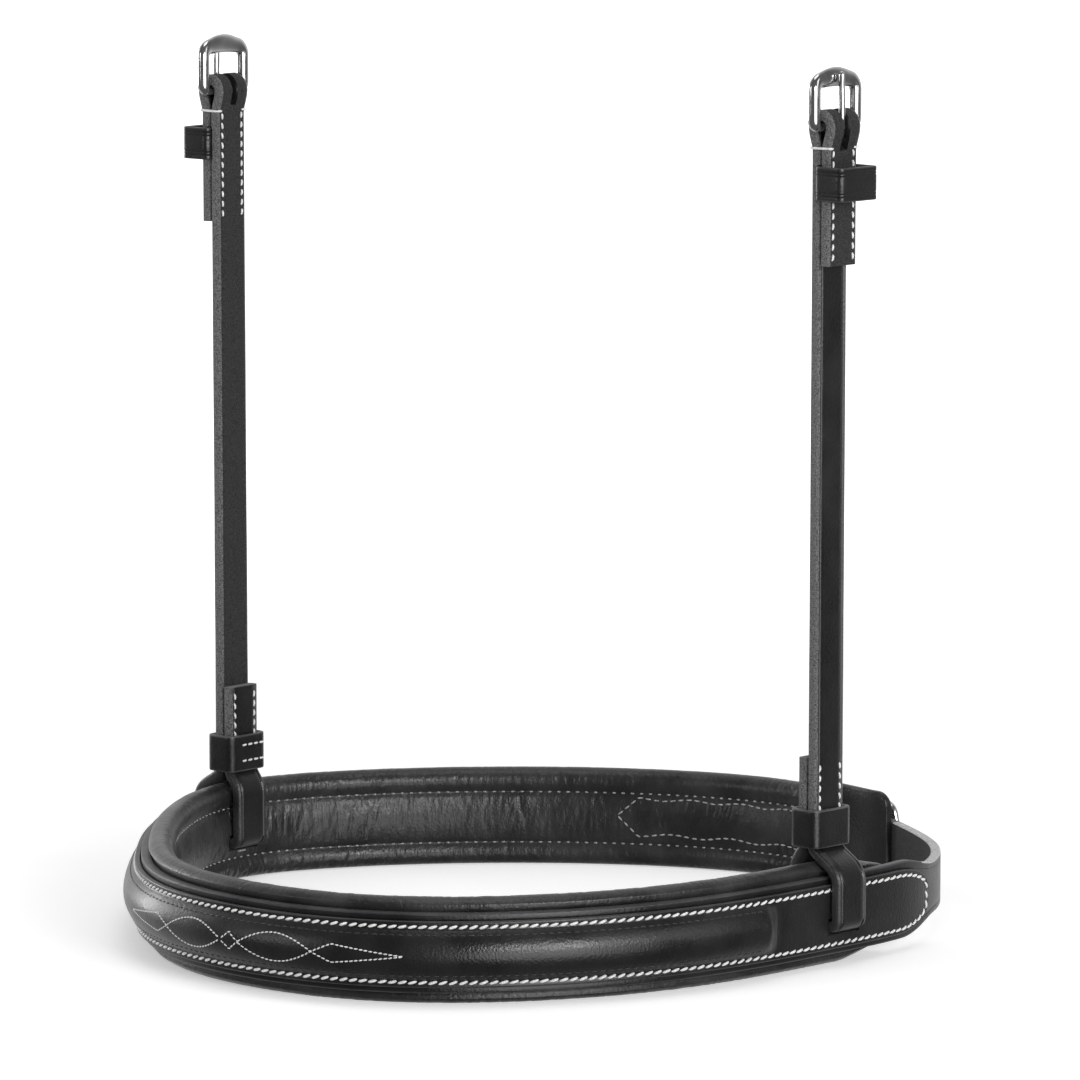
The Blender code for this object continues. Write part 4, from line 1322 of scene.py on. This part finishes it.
def make_buckle_frame(node, width, reach, pose, body):
    """Makes a polished buckle frame with its bar on the frame's own origin."""
    outline = frame_outline(width, reach)
    count = len(outline)
    sides = 20
    points = []
    for i, (y, z, in_half, out_half) in enumerate(outline):
        before = outline[i - 1]
        after = outline[(i + 1) % count]
        along = np.array([after[0] - before[0], after[1] - before[1]])
        along = along / np.linalg.norm(along)
        for k in range(sides):
            angle = 2 * math.pi * k / sides
            side = in_half * math.cos(angle)
            out = out_half * math.sin(angle)
            points.append(placed(pose, out, y + along[1] * side, z - along[0] * side))
    faces = loft_faces(count, sides, closed=True)
    made = mesh_object(node + "_steel", points, faces, [buckle_steel], None, body)
    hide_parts(node)


def make_tongue(node, reach, pose, body, wrap):
    """Makes a buckle tongue: wire curled round the bar, tapered where it rests on the top bar."""
    rest = top_bar_thickness + gap + tongue_radius
    guide = [(rest - 0.0002, reach + tongue_tip_reach), (rest, reach), (rest, reach - top_bar_half)]
    guide += [((rest + wrap) / 2, reach / 2)]
    guide += [(wrap * math.cos(0.26), wrap * math.sin(0.26) + 0.0004)]
    line = [tuple(p) for p in spline(guide, 40)]
    for angle in np.radians(np.arange(6.0, -226.0, -8.0)):
        line.append((wrap * math.cos(angle), wrap * math.sin(angle)))
    line, _, normals = strip_frames(line)
    lengths = np.concatenate([[0.0], np.cumsum(np.linalg.norm(np.diff(line, axis=0), axis=1))])
    sides = 14
    turns = [2 * math.pi * k / sides for k in range(sides)]
    rows = []
    for (out, level), (no, nz), length in zip(line, normals, lengths):
        radius = tongue_radius * round_end(min(length, lengths[-1] - length), 0.0009, 0.45)
        radius *= 0.86 + 0.14 * min(length / 0.006, 1.0)
        rows.append([
            placed(pose, out + no * radius * math.cos(turn), radius * math.sin(turn),
                   level + nz * radius * math.cos(turn))
            for turn in turns
        ])
    made = swept(node + "_steel", rows, [0] * sides, [buckle_steel], body)
    made.data.set_sharp_from_angle(angle=math.radians(60.0))
    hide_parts(node)


def cheek_row(line, normals, start, end, sign, across, pose):
    """Gives a row's points with their normals, between two levels on one side of a layer."""
    spots = []
    for level in np.linspace(start, end, 60):
        k = int(np.argmin(np.abs(line[:, 1] - level)))
        out, no, nz = line[k, 0], normals[k, 0], normals[k, 1]
        spot = placed(pose, out + no * (sign * cheek_half), across, level)
        spots.append((spot, turned(pose, sign * no, 0.0, sign * nz)))
    return spots


def make_cheek_stitches(side, pose, body):
    """Sews the cheekpiece's turn-up and turned-down end with two white rows each."""
    line, _, normals = strip_frames(cheek_line())
    first = int(np.argmin(line[:, 1]))
    top = int(np.argmax(line[:, 1]))
    turn_up = slice(0, first)
    main = slice(first, top)
    down = slice(top, len(line))
    rows = [(turn_up, 1, turn_up_rows), (main, 1, turn_up_rows),
            (main, -1, turn_down_rows), (down, -1, turn_down_rows)]
    runs = []
    for part, sign, (start, end, across) in rows:
        for edge in (-1, 1):
            spots = cheek_row(line[part], normals[part], start, end, sign, edge * across, pose)
            runs += along_line(spots, CHEEK_SEAM, edge)
    stitches("cheek_rows_%s_thread" % side, runs, body, white_thread, 0.00040)


def make_edge_wraps(side, pose, body):
    """Ties off the turned-down end's thread over the strap's edges."""
    middle = layer_middle(turn_down_rows[0])
    reach = layer_pitch + 0.0008
    runs = []
    for edge in (-1, 1):
        spot = placed(pose, middle, edge * (cheek_width / 2 - 0.0001), edge_tie_level)
        way = turned(pose, 1.0, 0.0, 0.02)
        runs.append((spot, way, turned(pose, 0.0, edge, 0.0), reach * 1.9, 0.0004))
        for face in (-1, 1):
            out = middle + face * (layer_pitch / 2 + cheek_half)
            spot = placed(pose, out, edge * 0.0053, edge_tie_level)
            way = turned(pose, 0.0, 1.0, 0.0)
            runs.append((spot, way, turned(pose, face, 0.0, 0.0), 0.0024, 0.0003))
    stitches("edge_wraps_%s_thread" % side, runs, body, white_thread, 0.00040)


def make_keeper_stitches(side, pose, body):
    """Sews the lower keeper's lapped ends, on the side that faces the horse."""
    runs = []
    out = cheek_plane - layer_pitch - cheek_half - keeper_play - keeper_thickness
    way = turned(pose, -1.0, 0.0, 0.0)
    for share in (0.29, 0.73):
        level = lower_keeper_level + lower_keeper_height * share
        row = np.linspace(-0.0072, 0.0036, 30)
        runs += along_line([(placed(pose, out, across, level), way) for across in row], KEEPER_SEAM)
    stitches("keeper_rows_%s_thread" % side, runs, body, white_thread, 0.00036)


def make_cheekpiece(side, place):
    """Makes one cheekpiece with its keepers and its buckle."""
    pose = band_frame(place)
    body = "cheekpiece_" + side
    make_cheek_strap(side, pose, body)
    make_cheek_stitches(side, pose, body)
    make_edge_wraps(side, pose, body)
    keeper_top = upper_keeper_level + upper_keeper_height
    keeper_middle = layer_middle((upper_keeper_level + keeper_top) / 2)
    room = cheek_width / 2 + keeper_play
    make_keeper(
        "cheek_keeper_upper_" + side,
        (keeper_middle + keeper_thickness / 2, -room),
        (keeper_middle + layer_pitch / 2 + cheek_half + upper_keeper_room + keeper_play, room),
        (upper_keeper_level, keeper_top),
        keeper_thickness, pose, body, keeper_corner,
    )
    # The lower keeper's rims take the lighter painted-highlight edge colour in place of real glints
    make_keeper(
        "cheek_keeper_lower_" + side,
        (cheek_plane - layer_pitch - cheek_half - keeper_play, -room),
        (cheek_plane + cheek_half + keeper_play, room),
        (lower_keeper_level, lower_keeper_level + lower_keeper_height),
        keeper_thickness, pose, "lower_keeper_" + side, lower_keeper_corner, creased=False,
        rim=painted_glint_edge,
    )
    make_keeper_stitches(side, pose, "lower_keeper_" + side)
    bar = pose @ Matrix.Translation((layer_middle(cheek_bar_level), 0.0, cheek_bar_level))
    reach = cheek_frame_length - bar_radius - top_bar_half
    make_buckle_frame("cheek_buckle_frame_" + side, cheek_frame_width, reach, bar, "buckle_" + side)
    make_tongue("cheek_buckle_tongue_" + side, reach, bar, "tongue_" + side, cheek_tongue_wrap)


# Chin closure
def chape_line():
    """Gives the chape's places and distances outward, from its point over the bar and back."""
    line = [(chape_end - step, chape_low) for step in [0.0] + end_steps(chape_point, 12)]
    straight = np.linspace(chape_end - chape_point - 0.002, chape_lift_start, 24)
    line += [(place, chape_low) for place in straight]
    high = chin_bar_height + chin_fold_radius
    for share in np.linspace(0.1, 1.0, 10):
        place = chape_lift_start + (chape_return - chape_lift_start) * share
        line.append((place, chape_low + (chape_high - chape_low) * ease(share)))
    for share in np.linspace(0.1, 0.92, 9):
        place = chape_return + (chin_bar_place - chape_return) * share
        line.append((place, chape_high + (high - chape_high) * ease(share)))
    line += arc(chin_bar_place, chin_bar_height, chin_fold_radius, 90.0, 270.0, 19)
    for share in (0.2, 0.4, 0.6, 0.8):
        line.append((chin_bar_place + (chape_return - chin_bar_place) * share, chape_low))
    return line


def keeper_frame(start):
    """Gives a chin keeper's placed frame: X outward, Y up, Z towards the chin buckle."""
    point, along, normal = strap_path.at(start + chin_keeper_height / 2)
    return standing_frame(normal, -along, point + along * (chin_keeper_height / 2))


def make_chin_closure():
    """Makes the chape, the chin buckle and the two keepers outside the band's far end."""
    section = band_section(chape_width / 2, chape_thickness, crease=chape_crease)
    line, _, normals = strip_frames(chape_line())
    rows = []
    for (place, out), (n_place, n_out) in zip(line, normals):
        half = chape_width / 2 * round_end(chape_end - place, chape_point, 0.15)
        rows.append(
            [strap_path.put(place + n_place * lift, out + n_out * lift, base_level + half * share)
             for share, lift, _ in section]
        )
    materials = [grain_leather, edge_leather, flesh]
    chape = swept("chin_chape_leather", rows, section_marks(section), materials)
    bar = chin_frame()
    cutters = [
        box_cutter(
            "chape_slot",
            (-2 * chape_width, -eye_width / 2, -eye_depth),
            (2 * chape_width, eye_width / 2, chape_width),
            bar,
        )
    ]
    room = chape_width / 2 + keeper_play
    for number, start in enumerate(chin_keeper_starts):
        pose = keeper_frame(start)
        node = "chin_keeper_%d" % (number + 1)
        cutters.append(
            box_cutter(
                node + "_seat",
                (0.0, -chape_width, -gap),
                (on_main + chin_keeper_thickness + gap, chape_width, chin_keeper_height + gap),
                pose,
            )
        )
        make_keeper(
            node,
            (on_main + chin_keeper_thickness, -room),
            (billet_flat + main_half + keeper_play, room),
            (0.0, chin_keeper_height),
            chin_keeper_thickness, pose, "band", keeper_corner,
        )
    carve(chape, cutters)
    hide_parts("chin_chape")
    make_buckle_frame("chin_buckle_frame", chin_frame_width, chin_reach, bar, "chin_buckle")
    wrap = bar_radius + hinge_play + tongue_radius
    make_tongue("chin_buckle_tongue", chin_reach, bar, "chin_tongue", wrap)


make_main_strap()
make_nose_face()
make_face_stitches()
make_fancy_stitches()
make_padding()
make_inside_stitches()
make_jaw_flap()
make_cheekpiece("right", right_loop)
make_cheekpiece("left", left_loop)
make_chin_closure()
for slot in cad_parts["nose_filler"].material_slots:
    slot.material = foam_grey


# Camera, light and floor
def area_lamp(name, place, aim, width, height, radiance):
    """Makes a softbox that gives an even radiance towards a level on the world's Z axis."""
    light = bpy.data.lights.new(name, "AREA")
    light.shape = "RECTANGLE"
    light.size = width
    light.size_y = height
    light.energy = radiance * math.pi * width * height
    lamp = bpy.data.objects.new(name, light)
    scene.collection.objects.link(lamp)
    lamp.location = place
    way = Vector((0.0, 0.0, aim)) - Vector(place)
    lamp.rotation_euler = way.to_track_quat("-Z", "Y").to_euler()
    lamp.visible_camera = False


camera_place = (1.3155, -1.7362, 0.4246)
camera_way = (-0.59955, 0.80034)
camera_dip = math.radians(7.985)
key_way = (0.888, -0.453, -0.080)
camera = bpy.data.cameras.new("camera")
camera.lens = 240.0
camera.sensor_width = 36.0
camera.clip_end = 100.0
camera_object = bpy.data.objects.new("camera", camera)
scene.collection.objects.link(camera_object)
camera_object.location = camera_place
level_share = math.cos(camera_dip)
look = Vector((camera_way[0] * level_share, camera_way[1] * level_share, -math.sin(camera_dip)))
camera_object.rotation_euler = look.to_track_quat("-Z", "Y").to_euler()
scene.camera = camera_object
scene.view_settings.view_transform = "Standard"

# The world is plain white to the camera. Steel and polished leather mirror a room that is bright
# behind the part and dark in front, with one bright screen on the key side.
world = bpy.data.worlds.new("studio")
scene.world = world
world.use_nodes = True
sky = world.node_tree
rays = sky.nodes.new("ShaderNodeLightPath").outputs
direction = add_node(sky, "TexCoord", "Generated", {})


def towards(way):
    """Gives how far a ray's direction agrees with a way."""
    return add_node(sky, "VectorMath", "Value", {0: direction, 1: way}, operation="DOT_PRODUCT")


def larger(a, b):
    """Gives the larger of two values of the world."""
    return add_node(sky, "Math", "Value", {0: a, 1: b}, operation="MAXIMUM")


front = towards((-camera_way[0], -camera_way[1], 0.0))
room = map_range(sky, front, 0.75, 0.13, -0.75, 0.05, interpolation_type="SMOOTHSTEP")
screen = map_range(sky, towards(key_way), 0.0, 3.0, 0.88, 0.975, interpolation_type="SMOOTHSTEP")
mirrored = add_node(
    sky, "Mix", "Result", {"Factor": rays["Is Glossy Ray"], "A": 0.46, "B": larger(room, screen)}
)
seen = larger(rays["Is Camera Ray"], rays["Is Transmission Ray"])
level = add_node(sky, "Mix", "Result", {"Factor": seen, "A": mirrored, "B": 1.0})
background = sky.nodes["Background"]
background.inputs["Color"].default_value = (1.0, 1.0, 1.0, 1.0)
sky.links.new(level, background.inputs["Strength"])

area_lamp("key_softbox", (1.24, -0.56, 0.50), 0.05, 0.62, 0.30, 14.0)
area_lamp("front_softbox", (-0.62, -1.17, 0.42), 0.05, 0.36, 0.50, 3.0)
area_lamp("left_softbox", (-1.34, 0.02, 0.30), 0.08, 0.50, 0.56, 5.0)
area_lamp("top_softbox", (0.10, -0.05, 1.30), 0.0, 0.7, 0.7, 1.6)
area_lamp("right_softbox", (1.30, 0.20, 0.60), 0.08, 0.35, 0.9, 1.6)

floor_mesh = bpy.data.meshes.new("floor")
floor_mesh.from_pydata([(-12, -12, 0), (12, -12, 0), (12, 12, 0), (-12, 12, 0)], [], [(0, 1, 2, 3)])
floor = bpy.data.objects.new("floor", floor_mesh)
scene.collection.objects.link(floor)
paper = bpy.data.materials.new("paper")
paper.use_nodes = True
tree = paper.node_tree
tree.nodes.remove(tree.nodes["Principled BSDF"])
spot = add_node(tree, "TexCoord", "Object", {})
away = add_node(tree, "VectorMath", "Value", {0: spot}, operation="LENGTH")
fade = map_range(tree, away, 0.34, 1.0, 0.25, 1.1, interpolation_type="SMOOTHSTEP")
viewed = tree.nodes.new("ShaderNodeLightPath").outputs["Is Camera Ray"]
strength = add_node(tree, "Math", "Value", {0: viewed, 1: fade}, operation="MULTIPLY")
diffuse = add_node(tree, "BsdfDiffuse", "BSDF", {"Color": (0.92, 0.92, 0.92, 1.0)})
glow = add_node(tree, "Emission", "Emission", {"Strength": strength})
both = add_node(tree, "AddShader", "Shader", {0: diffuse, 1: glow})
tree.links.new(both, tree.nodes["Material Output"].inputs["Surface"])
floor_mesh.materials.append(paper)
floor.visible_glossy = False
